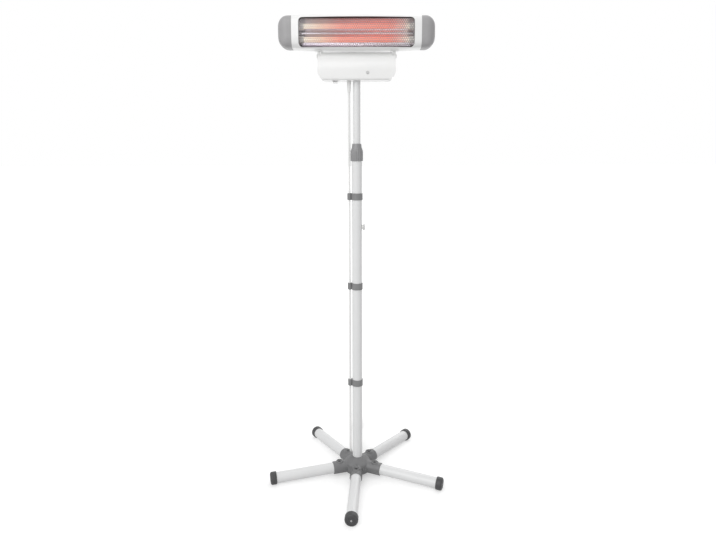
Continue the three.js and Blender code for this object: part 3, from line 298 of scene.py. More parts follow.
tube_paint = Finish("tube_paint", (0.745, 0.748, 0.75), 0.3, Coat_Weight=0.2)
tube_paint.vary(mottle=(9, 0.015, 3), gloss=(40, 0.1, 0.3), grain=(900, 0.05, 0.35, 1))
leg_frames = [on_leg(i) for i in range(leg_count)]
leg_axes = [leg_frame @ lay_along_x for leg_frame in leg_frames]
for number, axis in enumerate(leg_axes, 1):
    leg = pipe(leg_radius, leg_radius - leg_wall, leg_start, leg_reach, place=axis)
    show(f"leg_tube_{number}", leg, "stand", tube_paint, f"leg_{number}")

# Foot caps: near-black moulded ends pushed into the tubes, with a short skirt over them, a flat to stand
# on, a groove round the face and a pale pin in its middle.
cap_gap, cap_length, cap_round, cap_seat = 0.3 * mm, 15 * mm, 6 * mm, 14 * mm
cap_skirt, skirt_gap, pin_radius, pin_gap = 5 * mm, 0.15 * mm, 3 * mm, 0.2 * mm


def solid_turned(profile, **more):
    """A solid of revolution: the outline starts and ends on the axis."""
    return spun([(0, profile[0][1]), *profile, (0, profile[-1][1])], closed=False, **more)


cap_plastic = Finish("cap_plastic", (0.05, 0.05, 0.052), 0.5)
cap_plastic.vary(mottle=(60, 0.08), gloss=(300, 0.15, 0.42), grain=(2500, 0.04, 0.5, 1))
pin_plastic = Finish("pin_plastic", (0.45, 0.45, 0.45), 0.4)
pin_plastic.vary(mottle=(500, 0.05), grain=(2500, 0.03, 0.4, 1))
cap_start = leg_reach + cap_gap
cap_end = cap_start + cap_length
cap_rim = [(cap_radius - cap_round * (1 - math.cos(a)), cap_end - cap_round * (1 - math.sin(a)))
           for a in (k / 10 * tau / 4 for k in range(11))]
groove_floor = cap_end - 1 * mm
cap_groove = [(13 * mm, cap_end), (12.4 * mm, groove_floor), (9.6 * mm, groove_floor), (9 * mm, cap_end)]
pin_foot, pin_shoulder = cap_end - 1.2 * mm, cap_end - 0.5 * mm
pin_recess = [(pin_radius + 0.6 * mm, cap_end), (pin_radius, pin_shoulder), (pin_radius, pin_foot)]
seat, skirt, skirt_bore = leg_radius - leg_wall - cap_gap, cap_start - cap_skirt, leg_radius + skirt_gap
cap_profile = [(seat, cap_start - cap_seat), (seat, cap_start), (skirt_bore, cap_start), (skirt_bore, skirt),
               (cap_radius - 0.7 * mm, skirt), (cap_radius - 0.2 * mm, skirt + 0.5 * mm),
               (cap_radius, skirt + 1.5 * mm), *cap_rim, *cap_groove, *pin_recess]
pin_profile = [(pin_radius - pin_gap, pin_foot), (pin_radius - pin_gap, pin_shoulder),
               (pin_radius - 0.8 * mm, cap_end - 0.1 * mm)]
for number, axis in enumerate(leg_axes, 1):
    cap = solid_turned(cap_profile, place=axis)
    whole = list(cap.verts) + list(cap.edges) + list(cap.faces)
    bmesh.ops.bisect_plane(cap, geom=whole, plane_co=(0, 0, 0), plane_no=(0, 0, -1), clear_outer=True)
    bmesh.ops.holes_fill(cap, edges=[e for e in cap.edges if e.is_boundary])
    show(f"cap_{number}", cap, "stand", cap_plastic, f"foot_cap_{number}")
    show(f"cap_pin_{number}", solid_turned(pin_profile, segments=32, place=axis), "stand", pin_plastic)

# Hub: one dark grey moulding, a dome round the mast that flows into five sleeves. Each leg is held by a
# screw in a round boss on its sleeve.
mast_radius, hub_radius, hub_top, hub_shoulder, hub_under = 16.25 * mm, 43 * mm, 61 * mm, 46 * mm, 8 * mm
hub_edge, hub_rim, sleeve_wall, sleeve_reach = 4 * mm, 4 * mm, 3 * mm, 85 * mm
boss_radius, boss_place, boss_proud, boss_sink, boss_edge = 12 * mm, 62 * mm, 2.6 * mm, 3.5 * mm, 1 * mm
hub_voxel, hub_softening = 1.1 * mm, 3


def add(whole, *others):
    """The faces of several bmeshes in one."""
    for other in others:
        carrier = bpy.data.meshes.new("carrier")
        other.to_mesh(carrier)
        whole.from_mesh(carrier)
        bpy.data.meshes.remove(carrier)
        other.free()
    return whole


def melted(made, voxel, rounds):
    """Joins overlapping shapes into one moulded skin with softened corners."""
    data = bpy.data.meshes.new("melt")
    made.to_mesh(data)
    made.free()
    thing = bpy.data.objects.new("melt", data)
    bpy.context.scene.collection.objects.link(thing)
    remesh = thing.modifiers.new("skin", "REMESH")
    remesh.mode = "VOXEL"
    remesh.voxel_size = voxel
    soften = thing.modifiers.new("soften", "SMOOTH")
    soften.factor = 0.5
    soften.iterations = rounds
    result = evaluated(thing)
    bpy.data.objects.remove(thing)
    return result


def evaluated(thing):
    """A bmesh of an object with its modifiers carried out."""
    graph = bpy.context.evaluated_depsgraph_get()
    result = bmesh.new()
    result.from_mesh(thing.evaluated_get(graph).to_mesh())
    thing.evaluated_get(graph).to_mesh_clear()
    return result


hub_plastic = Finish("hub_plastic", (0.175, 0.175, 0.178), 0.4)
hub_plastic.vary(mottle=(45, 0.06), gloss=(200, 0.14, 0.38), grain=(2200, 0.05, 0.5, 1))
hub_mouth, sleeve_radius = mast_radius + hub_rim, leg_radius + sleeve_wall
boss_top = sleeve_radius + boss_proud
dome_profile = [(hub_radius - hub_edge, hub_under), (hub_radius, hub_under + hub_edge),
                (hub_radius, hub_shoulder - hub_edge), (hub_radius - hub_edge, hub_shoulder),
                (hub_mouth + hub_edge, hub_top - hub_edge), (hub_mouth, hub_top)]
boss_profile = [(boss_radius, 0), (boss_radius, boss_top - boss_edge), (boss_radius - boss_edge, boss_top),
                (boss_radius - 3.5 * mm, boss_top), (boss_radius - 3.8 * mm, boss_top - boss_sink)]
dome = solid_turned(dome_profile, place=Matrix.Translation(mast_line))
sleeves = [solid_turned([(sleeve_radius, 0), (sleeve_radius, sleeve_reach)], place=axis) for axis in leg_axes]
bosses = [solid_turned(boss_profile, place=leg_frame @ Matrix.Translation((boss_place, 0, 0)))
          for leg_frame in leg_frames]
hub_blank = add(dome, *sleeves, *bosses)
show("hub_moulding", melted(hub_blank, hub_voxel, hub_softening), "stand", hub_plastic, "hub", angle=60)

# Hub screws: blackened steel pan heads with a cross recess. Each is sunk in a boss and holds a leg in
# its sleeve.
hub_screw_radius, hub_screw_rise, hub_screw_sink = 4.4 * mm, 2.6 * mm, 3.6 * mm
black_screw = Finish("black_screw", (0.07, 0.07, 0.072), 0.35, Metallic=0.6)
black_screw.vary(gloss=(600, 0.2, 0.3), grain=(1500, 0.02, 0.5))


def screw(place, radius, rise):
    """A domed head with two crossed slots, its seat at the place's origin."""
    domed = [(radius, 0), (radius, rise * 0.35), (radius * 0.8, rise * 0.8), (radius * 0.45, rise)]
    head = solid_turned(domed, segments=28)
    arms = []
    for turn in (0, tau / 4):
        arm = bmesh.new()
        bmesh.ops.create_cube(arm, size=1)
        bmesh.ops.scale(arm, vec=(radius * 1.1, radius * 0.22, rise), verts=arm.verts)
        bmesh.ops.rotate(arm, cent=(0, 0, 0), matrix=Matrix.Rotation(turn, 3, "Z"), verts=arm.verts)
        bmesh.ops.translate(arm, vec=(0, 0, rise), verts=arm.verts)
        arms.append(arm)
    made = carved(head, *arms)
    bmesh.ops.transform(made, matrix=place, verts=made.verts)
    return made


def carved(base, *cutters, operation="DIFFERENCE"):
    """The base with each cutter taken away, or what it has in common with them."""
    things = []
    for part in (base, *cutters):
        data = bpy.data.meshes.new("blank")
        part.to_mesh(data)
        part.free()
        thing = bpy.data.objects.new("blank", data)
        bpy.context.scene.collection.objects.link(thing)
        things.append(thing)
    for cutter in things[1:]:
        step = things[0].modifiers.new("cut", "BOOLEAN")
        step.operation = operation
        step.solver = "EXACT"
        step.object = cutter
    result = evaluated(things[0])
    for thing in things:
        bpy.data.objects.remove(thing)
    return result


for number, leg_frame in enumerate(leg_frames, 1):
    in_boss = leg_frame @ Matrix.Translation((boss_place, 0, boss_top - hub_screw_sink))
    made = screw(in_boss, hub_screw_radius, hub_screw_rise)
    show(f"hub_screw_{number}", made, "stand", black_screw, angle=30)

# Hub hardware: a moulded plug in the mast's foot, and the zinc-plated bolt that draws the mast down into
# the hub. Both keep the form of their solids.
zinc = Finish("zinc", (0.62, 0.62, 0.6), 0.35, Metallic=1.0)
zinc.vary(gloss=(600, 0.2, 0.25), grain=(1500, 0.02, 0.5))


def dress(finish, *names):
    """A node that keeps its solid gets this finish."""
    for name in names:
        nodes[name].data.materials.clear()
        nodes[name].data.materials.append(finish.material)


dress(hub_plastic, "mast_plug")
dress(zinc, "hub_bolt")

# Mast: a fixed lower tube and a thinner stem that slides in it, both white powder-coated steel. Inside
# them sit a black guide bush, on the stem's foot, and a slotted collet on the lower tube.
mast_wall, mast_foot, mast_top = 1.5 * mm, 26 * mm, 1072 * mm
stem_radius, stem_wall, stem_foot = 11.5 * mm, 1.2 * mm, 560 * mm
box_foot, stem_in_box = 1296 * mm, 34 * mm
up_the_mast = Matrix.Translation(mast_line)
lower_tube = pipe(mast_radius, mast_radius - mast_wall, mast_foot, mast_top, segments=96, place=up_the_mast)
show("mast_tube", lower_tube, "stand", tube_paint, "lower_mast")
stem_top = box_foot + stem_in_box
stem = pipe(stem_radius, stem_radius - stem_wall, stem_foot, stem_top, segments=96, place=up_the_mast)
show("stem_tube", stem, "mast", tube_paint, "mast_stem")
dress(cap_plastic, "guide_bush", "collet")

# Lock collar: a grey moulded grip with rounded ribs that narrows upwards to the stem and squeezes the
# slotted collet when it is turned.
collar_foot, collar_top, collar_radius, collar_neck = 1055 * mm, 1108 * mm, 19.1 * mm, 13.8 * mm
collar_band, collar_step, rib_count, rib = 31 * mm, 40 * mm, 18, 0.6 * mm
root, lower_bore, upper_bore = collar_radius - rib, mast_radius + 0.9 * mm, stem_radius + 0.5 * mm
band_top, neck_foot = collar_foot + collar_band, collar_foot + collar_step
collar_profile = [
    (lower_bore, collar_foot), (root - 0.5 * mm, collar_foot), (root, collar_foot + 0.8 * mm),
    (root, band_top - 6 * mm), (root - 0.2 * mm, band_top), (collar_neck + 2.2 * mm, neck_foot),
    (collar_neck + 1.5 * mm, neck_foot + 2 * mm), (collar_neck + 0.4 * mm, collar_top - 1 * mm),
    (collar_neck, collar_top - 0.2 * mm), (collar_neck - 0.6 * mm, collar_top), (upper_bore, collar_top),
    (upper_bore, collar_top - 8 * mm), (lower_bore, collar_foot + 20 * mm),
]
collar_plastic = Finish("collar_plastic", (0.26, 0.26, 0.265), 0.36)
collar_plastic.vary(mottle=(45, 0.05), gloss=(200, 0.14, 0.3), grain=(2200, 0.05, 0.5, 1))
grip = spun(collar_profile, segments=180)
for corner in grip.verts:
    out = corner.co.xy.length
    outside = out > max(collar_neck, mast_radius) + 1 * mm
    if outside and corner.co.z < neck_foot + 1 * mm:
        swell = rib * math.cos(rib_count * math.atan2(corner.co.y, corner.co.x))
        corner.co.xy *= 1 + swell / out
bmesh.ops.translate(grip, vec=mast_line, verts=grip.verts)
show("lock_collar_grip", grip, "lock_collar", collar_plastic, "lock_collar")

# Side knob: a small screw knob of light grey plastic with six soft lobes. Its stalk turns in a plain
# zinc-plated insert in the side of the lower tube.
pale_plastic = Finish("pale_plastic", (0.6, 0.6, 0.6), 0.42)
pale_plastic.vary(mottle=(35, 0.03), grain=(2400, 0.04, 0.45, 1))
knob_height, knob_radius, knob_length, knob_start = 847 * mm, 9.3 * mm, 7 * mm, 18.55 * mm
lobe_count, lobe_depth, stalk_radius = 6, 0.05, 3 * mm
knob = bmesh.new()
outline = bmesh.ops.create_circle(knob, cap_ends=True, radius=knob_radius, segments=96)["verts"]
for corner in outline:
    lobe = 1 + lobe_depth * (math.cos(lobe_count * math.atan2(corner.co.y, corner.co.x)) - 1)
    corner.co.xy *= lobe
grown = bmesh.ops.extrude_face_region(knob, geom=list(knob.faces))["geom"]
lid = [v for v in grown if isinstance(v, bmesh.types.BMVert)]
bmesh.ops.translate(knob, vec=(0, 0, knob_length), verts=lid)
bmesh.ops.recalc_face_normals(knob, faces=knob.faces)
stalk = solid_turned([(stalk_radius, -5.6 * mm), (stalk_radius, 1 * mm)], segments=32)
on_side = Matrix.Translation(mast_line + Vector((knob_start, 0, knob_height))) @ lay_along_x
knob = add(knob, stalk)
bmesh.ops.transform(knob, matrix=on_side, verts=knob.verts)
show("side_knob_grip", knob, "side_knob", pale_plastic, "side_knob", edge=0.8 * mm)
dress(zinc, "knob_insert")

# Cord clips: three sprung rings of dark grey plastic, clipped round the lower tube, each with an open
# eye at the left that holds the lead and opens to the back.
clip_heights = (325.6 * mm, 654.6 * mm, 944.3 * mm)
clip_plastic = Finish("clip_plastic", (0.21, 0.21, 0.213), 0.45)
clip_plastic.vary(mottle=(60, 0.05), grain=(2400, 0.04, 0.45, 1))


def refined(name, body, finish, edge=0.4 * mm):
    """A copy of a node's solid with rounded edges stands for it."""
    made = bmesh.new()
    made.from_mesh(nodes[name].data)
    bmesh.ops.transform(made, matrix=nodes[name].matrix_world, verts=made.verts)
    bmesh.ops.remove_doubles(made, verts=made.verts, dist=0.002 * mm)
    bmesh.ops.dissolve_limit(made, angle_limit=math.radians(2), verts=made.verts, edges=made.edges)
    bmesh.ops.recalc_face_normals(made, faces=made.faces)
    return show(name + "_shape", made, body, finish, name, edge=edge, angle=32)


for number in range(1, len(clip_heights) + 1):
    refined(f"cord_clip_{number}", "stand", clip_plastic, 0.5 * mm)

# Lead from the box to the top clip: a round white sheathed cable under the box's gland. This piece is one
# straight skin between box and clip, left off the bodies, with its place baked into its mesh.
cord_radius, cord_offset, gland_length, clip_length = 3.5 * mm, 23.5 * mm, 34 * mm, 21 * mm
joint_gap, riser_steps = 0.3 * mm, 40
gland_tip = box_foot - gland_length
clip_top = clip_heights[-1] + clip_length / 2
cord_side = mast_line + Vector((-cord_offset, 0, 0))
cable_sheath = Finish("cable_sheath", (0.82, 0.82, 0.81), 0.45)
cable_sheath.vary(mottle=(120, 0.02, 3), gloss=(300, 0.15, 0.38), grain=(1400, 0.05, 0.4))
riser_top, riser_foot = gland_tip - joint_gap, clip_top + joint_gap
riser_heights = [riser_foot + (riser_top - riser_foot) * k / riser_steps for k in range(riser_steps + 1)]
riser_profile = [(cord_radius, z) for z in riser_heights]
riser_skin = solid_turned(riser_profile, segments=24, place=Matrix.Translation(cord_side))
riser = show("riser", riser_skin, None, cable_sheath, "cord_riser")
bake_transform(riser)

# Lead from the top clip to the plug: the same cable, down through the clips and over the hub between two
# legs. What is left of it lies behind the foot, in a hank of two loops. Its route is plotted from the
# mast line, in millimetres.
straight_heights = (954.8, 944.3, 850, 750, 654.6, 550, 430, 325.6, 314.5, 260, 200, 150, 118)
over_the_hub = [(-23.5, 0.1, 98), (-23.2, 2.4, 83.3), (-21.6, 9.4, 71.3), (-18.2, 20, 62.4),
                (-15.2, 29.6, 58.2), (-11.9, 42, 55.4), (-9, 58, 52), (-7.7, 74, 48.9)]
to_the_plug = [(7.6, 92, 45.5), (7.6, 113.6, 41.3), (7.6, 135.2, 34.6), (7.6, 146, 33.5), (7.6, 172, 30.6),
               (7.6, 200, 25.5), (7.2, 226, 20.8), (4.8, 246, 18.4), (1.8, 266, 17.6), (0, 282, 17.5),
               (0, 290, 17.5)]
route = [(-23.5, 0, z) for z in straight_heights] + over_the_hub
loop_count, fold, run, start, pitch, waist, run_steps, fold_steps = 2, 21, 108, 92, 7.6, 9, 5, 7
middle = 3.5 + fold
for loop in range(loop_count):
    x = (loop - 1) * pitch
    for k in range(run_steps):
        pinch = (fold - waist) * 0.5 * (1 - math.cos(tau * k / run_steps))
        route.append((x, start + run * k / run_steps, middle + fold - pinch))
    for k in range(fold_steps):
        a = math.pi / 2 - math.pi * k / fold_steps
        route.append((x, start + run + fold * math.cos(a), middle + fold * math.sin(a)))
    for k in range(run_steps):
        climb = pitch * 0.5 * (1 - math.cos(math.pi * k / run_steps))
        pinch = (fold - waist) * 0.5 * (1 - math.cos(tau * k / run_steps))
        route.append((x + climb, start + run - run * k / run_steps, middle - fold + pinch))
    for k in range(fold_steps):
        a = -math.pi / 2 - math.pi * k / fold_steps
        route.append((x + pitch, start + fold * math.cos(a), middle + fold * math.sin(a)))
route = [mast_line + Vector(point) * mm for point in route + to_the_plug]


def cable(name, points):
    """A round cable through the points."""
    line = bpy.data.curves.new(name, "CURVE")
    line.dimensions = "3D"
    line.bevel_depth = cord_radius
    line.bevel_resolution = 5
    line.resolution_u = 8
    line.use_fill_caps = True
    spline = line.splines.new("BEZIER")
    spline.bezier_points.add(len(points) - 1)
    for knot, point in zip(spline.bezier_points, points):
        knot.co = point
        knot.handle_left_type = knot.handle_right_type = "AUTO"
    line.materials.append(cable_sheath.material)
    thing = bpy.data.objects.new(name, line)
    bpy.context.scene.collection.objects.link(thing)
    return thing


lead = cable("lead", route)
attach(lead, "stand")
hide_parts("cord_run", "cord_hank")

# Strap, gland and plug: a black woven strap round the hank, a tapered gland in the cable's plastic where
# the lead leaves the box, and a black moulded plug with a ribbed neck and two round zinc-plated prongs.
strap_cloth = Finish("strap_cloth", (0.03, 0.03, 0.032), 0.85)
strap_cloth.vary(mottle=(900, 0.3, 4))
across_strap = {"bands_direction": "Z"}
weave = strap_cloth.node("TexWave", across_strap, output=1, Vector=strap_cloth.place(), Scale=300.0)
strap_cloth.relief(weave, 0.2 * mm)
plug_plastic = Finish("plug_plastic", (0.06, 0.06, 0.062), 0.5)
plug_plastic.vary(gloss=(200, 0.15, 0.42), grain=(2000, 0.05, 0.5, 1))
tie = refined("hank_tie", "stand", strap_cloth, 0.3 * mm)
refined("cord_gland", "mast", cable_sheath, 0.4 * mm)
plug_start = route[-1] + Vector((0, joint_gap, 0))
along_plug = Matrix.Translation(plug_start) @ Matrix.Rotation(-math.pi / 2, 4, "X")
ribbed_neck = [(6 * mm - (k % 2) * 0.8 * mm, (1.5 + 2 * (k + 1)) * mm) for k in range(6)]
plug_profile = [(5.2 * mm, 0), (6 * mm, 0.8 * mm), *ribbed_neck, (6 * mm, 16 * mm), (9 * mm, 20 * mm),
                (14 * mm, 26 * mm), (16.8 * mm, 30 * mm), (17.5 * mm, 34 * mm), (17.5 * mm, 50 * mm),
                (16.5 * mm, 51.7 * mm), (15.5 * mm, 52 * mm)]
prong_profile = [(2.4 * mm, 51 * mm), (2.4 * mm, 69 * mm), (1.9 * mm, 70.4 * mm), (1 * mm, 71 * mm)]
prong_spread = 9.5 * mm
plug_skin = solid_turned(plug_profile, segments=64, place=along_plug)
plug = show("plug_body", plug_skin, "stand", plug_plastic, "mains_plug", angle=50)
prongs = [solid_turned(prong_profile, segments=24, place=along_plug @ Matrix.Translation((x, 0, 0)))
          for x in (-prong_spread, prong_spread)]
plug_pins = show("plug_pins", add(*prongs), "stand", zinc, angle=50)
lead_length = sum((b - a).length for a, b in zip(route, route[1:]))

# Control box: two white glossy mouldings, front and rear, that meet on a seam. It is rounded at the lower
# corners and has a ridge along the top, notched at both ends for the tilt joint.
box_height, box_width, box_depth, box_wall = 84 * mm, 234 * mm, 64 * mm, 2.5 * mm
box_corner, box_shoulder, box_edge, end_wall = 27 * mm, 30 * mm, 7 * mm, 15 * mm
pivot_drop, seam = 11.5 * mm, 0.3 * mm
casing_plastic = Finish("casing_plastic", (0.85, 0.85, 0.845), 0.3, Coat_Weight=0.2)
casing_plastic.vary(mottle=(12, 0.01, 3), gloss=(60, 0.08, 0.26), grain=(1800, 0.03, 0.25, 1))


def arc(centre, radius, first, last, steps=12):
    """Points on an arc, angles in quarter turns."""
    angles = [(first + (last - first) * k / steps) * tau / 4 for k in range(steps + 1)]
    return [(centre[0] + radius * math.cos(a), centre[1] + radius * math.sin(a)) for a in angles]


def bend(a, b, c, d, steps=20):
    """Points on a Bezier curve in a plane."""
    return [(p.x, p.y) for p in interpolate_bezier(*(Vector((*v, 0)) for v in (a, b, c, d)), steps)]


def slab(outline, low, high, along):
    """A closed outline made thick along X (outline in YZ) or along Y (outline in XZ)."""
    made = bmesh.new()
    corners = [made.verts.new((low, u, v) if along == "X" else (u, low, v)) for u, v in outline]
    face = made.faces.new(corners)
    top = bmesh.ops.extrude_face_region(made, geom=[face])["geom"]
    shift = (high - low, 0, 0) if along == "X" else (0, high - low, 0)
    bmesh.ops.translate(made, vec=shift, verts=[v for v in top if isinstance(v, bmesh.types.BMVert)])
    bmesh.ops.remove_doubles(made, verts=made.verts, dist=0.001 * mm)
    bmesh.ops.recalc_face_normals(made, faces=made.faces)
    return made


def box_section(inset):
    """The box's outline seen from the side, drawn in by the inset."""
    half, low, top, edge = box_depth / 2 - inset, inset, box_height - inset, box_edge - inset
    handle_height = box_shoulder + box_corner
    outline = arc((half - edge, low + edge), edge, 3, 4, 8)
    outline += bend((half, box_shoulder), (half, handle_height), (pivot_drop - inset, top), (0, top))
    outline += bend((0, top), (-pivot_drop + inset, top), (-half, handle_height), (-half, box_shoulder))[1:]
    return outline + arc((-half + edge, low + edge), edge, 2, 3, 8)


half = box_width / 2
front_view = arc((-half + box_corner, box_corner), box_corner, 2, 3)
front_view += arc((half - box_corner, box_corner), box_corner, 3, 4)
front_view += [(half, box_height + 5 * mm), (-half, box_height + 5 * mm)]
box_block = slab(box_section(0), -half, half, "X")
box_skin = carved(box_block, slab(front_view, -box_depth, box_depth, "Y"), operation="INTERSECT")
hollow = slab(box_section(box_wall), -half + end_wall, half - end_wall, "X")
notch_width, notch_radius, pivot_height = 11.2 * mm, 8.7 * mm, box_height - pivot_drop
notches = []
for side in (-1, 1):
    middle_x = side * (half + 2 * mm - notch_width / 2)
    notch = arc((0, pivot_height), notch_radius, 2, 4, 24)
    notch += [(box_depth, pivot_height), (box_depth, 2 * box_height)]
    notch += [(-box_depth, 2 * box_height), (-box_depth, pivot_height)]
    notches.append(slab(notch, middle_x - notch_width / 2, middle_x + notch_width / 2, "X"))
button_place, button_height, button_radius = 33 * mm, 22 * mm, 4.6 * mm
fit_gap, gland_neck = 0.3 * mm, 6.4 * mm
facing_front = Matrix.Rotation(math.pi / 2, 4, "X")
button_bore = [(button_radius + fit_gap, 16 * mm), (button_radius + fit_gap, 64 * mm)]
button_axis = Matrix.Translation((button_place, 0, button_height)) @ facing_front
button_hole = solid_turned(button_bore, segments=48, place=button_axis)
switch_place, hole_half_width, hole_half_length, hole_deep = -65 * mm, 9.3 * mm, 13.3 * mm, 20 * mm
hole_outline = [(-hole_half_length, -hole_deep), (hole_half_length, -hole_deep),
                (hole_half_length, hole_deep), (-hole_half_length, hole_deep)]
switch_hole = slab(hole_outline, switch_place - hole_half_width, switch_place + hole_half_width, "X")
floor_holes = []
for radius, x in ((stem_radius + fit_gap, 0), (gland_neck + fit_gap, -cord_offset)):
    bore = [(radius, -5 * mm), (radius, 6 * mm)]
    floor_holes.append(solid_turned(bore, segments=64, place=Matrix.Translation((x, 0, 0))))
box_skin = carved(box_skin, hollow, *notches, button_hole, switch_hole, *floor_holes)
bmesh.ops.translate(box_skin, vec=mast_line + Vector((0, 0, box_foot)), verts=box_skin.verts)


def halves(made, seam_y):
    """Cuts a shell along a plane that faces the front, with a hair of a gap."""
    cut = []
    for side in (-1, 1):
        part = made.copy()
        whole = list(part.verts) + list(part.edges) + list(part.faces)
        on_seam = (0, seam_y + side * seam / 2, 0)
        bmesh.ops.bisect_plane(part, geom=whole, plane_co=on_seam, plane_no=(0, -side, 0), clear_outer=True)
        edges = [e for e in part.edges if e.is_boundary]
        bmesh.ops.triangle_fill(part, use_beauty=True, edges=edges)
        bmesh.ops.recalc_face_normals(part, faces=part.faces)
        cut.append(part)
    made.free()
    return cut


facing_back = Matrix.Rotation(-math.pi / 2, 4, "X")
well_radius, box_well_foot, box_wells = 6 * mm, 25 * mm, [(x * mm, box_foot + 24 * mm) for x in (-88, 88)]


def well_cutters(places, start):
    """Round cutters that open a rear shell for its screw wells."""
    bore = [(well_radius, start), (well_radius, start + 60 * mm)]
    centres = [Matrix.Translation(mast_line + Vector((x, 0, z))) for x, z in places]
    return [solid_turned(bore, segments=40, place=centre @ facing_back) for centre in centres]


box_halves = halves(box_skin, mast_line.y)
box_halves[1] = carved(box_halves[1], *well_cutters(box_wells, box_well_foot - 5 * mm))
show("box_shell_front", box_halves[0], "mast", casing_plastic, "box_front", edge=1.2 * mm)
show("box_shell_rear", box_halves[1], "mast", casing_plastic, "box_rear", edge=1.2 * mm)

# Start button: a small key of light grey plastic with a soft dome, let through the front of the box and
# kept in by a flange behind its wall.
button_face, button_dome, button_flange = box_depth / 2 + 2.2 * mm, 0.7 * mm, button_radius + 1.6 * mm
flange_back, flange_front = 27.6 * mm, 29.2 * mm
crown = [(button_radius * math.cos(a), button_face - button_dome + button_dome * math.sin(a))
         for a in (k / 8 * tau / 4 for k in range(8))]
flange = [(button_flange, flange_back), (button_flange, flange_front), (button_radius, flange_front)]
button_centre = mast_line + Vector((button_place, 0, box_foot + button_height))
button = solid_turned([*flange, *crown], segments=64, place=Matrix.Translation(button_centre) @ facing_front)
show("button_key", button, "start_button", pale_plastic, "start_button", angle=50)

# Rocker switch: a white rocker in a white frame, snapped into the bottom of the box. The box holds a
# black moulded socket for the stem, the green timer board and a cream terminal block.
board_green = Finish("board_green", (0.03, 0.14, 0.06), 0.4)
board_green.vary(mottle=(400, 0.2))
ceramic_body = Finish("ceramic_body", (0.9, 0.87, 0.8), 0.5)
ceramic_body.vary(mottle=(150, 0.05, 4), grain=(1500, 0.06, 0.5))
refined("switch_frame", "mast", casing_plastic, 0.4 * mm)
refined("rocker_switch", "rocker_switch", casing_plastic, 0.5 * mm)
dress(cap_plastic, "stem_socket")
dress(board_green, "timer_board")
dress(ceramic_body, "terminal_block")

# Head casing: a front and a rear shell of white moulded plastic, whose section is a soft rectangle. It
# swells towards the middle, and the front has a window with rounded corners for the grille.
head_gap, head_height, head_end_height = 3 * mm, 105 * mm, 94 * mm
head_depth, head_end_depth, head_seam = 100 * mm, 90 * mm, 4 * mm
head_width, cap_width, cap_bend, head_power, head_wall = 468 * mm, 42 * mm, 30 * mm, 4, 2 * mm
window_width, window_height, window_low, window_corner = 342 * mm, 83.5 * mm, -3.8 * mm, 12 * mm
window_arch, window_steps = 0.6 * mm, 12
box_top = box_foot + box_height
head_middle = mast_line + Vector((0, 0, box_top + head_gap + head_height / 2))
casing_half = head_width / 2 - cap_width


def head_ring(made, x, inset, segments=128):
    """A ring of the head's section at x, as a circle pulled out to a soft rectangle."""
    share = min(abs(x) / casing_half, 1) ** 2
    over = max(abs(x) - (head_width / 2 - cap_bend), 0)
    drawn_in = cap_bend - math.sqrt(max(cap_bend ** 2 - over ** 2, 0))
    deep = (head_depth + (head_end_depth - head_depth) * share) / 2 - drawn_in - inset
    high = (head_height + (head_end_height - head_height) * share) / 2 - drawn_in - inset
    ring = bmesh.ops.create_circle(made, radius=1, segments=segments)["verts"]
    for corner in ring:
        u, v = (math.copysign(abs(value) ** (2 / head_power), value) for value in corner.co.xy)
        corner.co = (x, u * deep, v * high)
    return ring


def head_loft(places, inset):
    """Rings bridged into a closed skin."""
    made = bmesh.new()
    rings = [head_ring(made, x, inset) for x in places]
    made.edges.ensure_lookup_table()
    for a, b in zip(rings, rings[1:]):
        edges = [e for e in made.edges if set(e.verts) <= set(a) or set(e.verts) <= set(b)]
        bmesh.ops.bridge_loops(made, edges=edges)
    for ring in (rings[0], rings[-1]):
        made.faces.new(ring)
    bmesh.ops.recalc_face_normals(made, faces=made.faces)
    return made


def window_outline(grow):
    """The window seen from the front, with round corners and a slight arch above and below."""
    w, h, r = window_width / 2 + grow, window_height / 2 + grow, window_corner + grow
    long_edge = [((2 * w - 2 * r) * k / window_steps, window_arch * math.sin(math.pi * k / window_steps))
                 for k in range(1, window_steps)]
    outline = arc((w - r, -h + r), r, 3, 4) + arc((w - r, h - r), r, 0, 1)
    outline += [(w - r - along, h + rise) for along, rise in long_edge]
    outline += arc((-w + r, h - r), r, 1, 2) + arc((-w + r, -h + r), r, 2, 3)
    outline += [(-w + r + along, -h - rise) for along, rise in long_edge]
    return [(x, z + window_low) for x, z in outline]


stations = [casing_half * (k / 12 - 1) for k in range(25)]
inside = [x * (casing_half + 2 * mm) / casing_half for x in stations]
shell = carved(head_loft(stations, 0), head_loft(inside, head_wall))
shell_parts = halves(shell, head_seam)
shell_parts[0] = carved(shell_parts[0], slab(window_outline(0), -head_depth, -4 * mm, "Y"))
for part in shell_parts:
    bmesh.ops.translate(part, vec=head_middle, verts=part.verts)
head_wells = [(x * mm, head_middle.z + z * mm) for x in (-165, 165) for z in (-22, 24)]
head_well_foot = 38 * mm
shell_parts[1] = carved(shell_parts[1], *well_cutters(head_wells, head_well_foot - 8 * mm))
for part, name in zip(shell_parts, ("front", "rear")):
    show(f"head_shell_{name}", part, "head", casing_plastic, f"head_{name}", edge=0.7 * mm)

# Closing screws: six blackened steel pan heads that hold the rear mouldings of casing and box to the
# front ones. Each sits at the foot of a moulded well.
well_bore, well_lip, closing_screw_radius, closing_screw_rise = 4.6 * mm, 0.6 * mm, 4.2 * mm, 2.2 * mm


def skin_depth(x, z, inset=0, most=1):
    """How far the casing's skin lies in front of or behind the head's middle line at a place."""
    share = (x / casing_half) ** 2
    deep = (head_depth + (head_end_depth - head_depth) * share) / 2 - inset
    high = (head_height + (head_end_height - head_height) * share) / 2 - inset
    return deep * (1 - min(abs(z) / high, most) ** head_power) ** (1 / head_power)


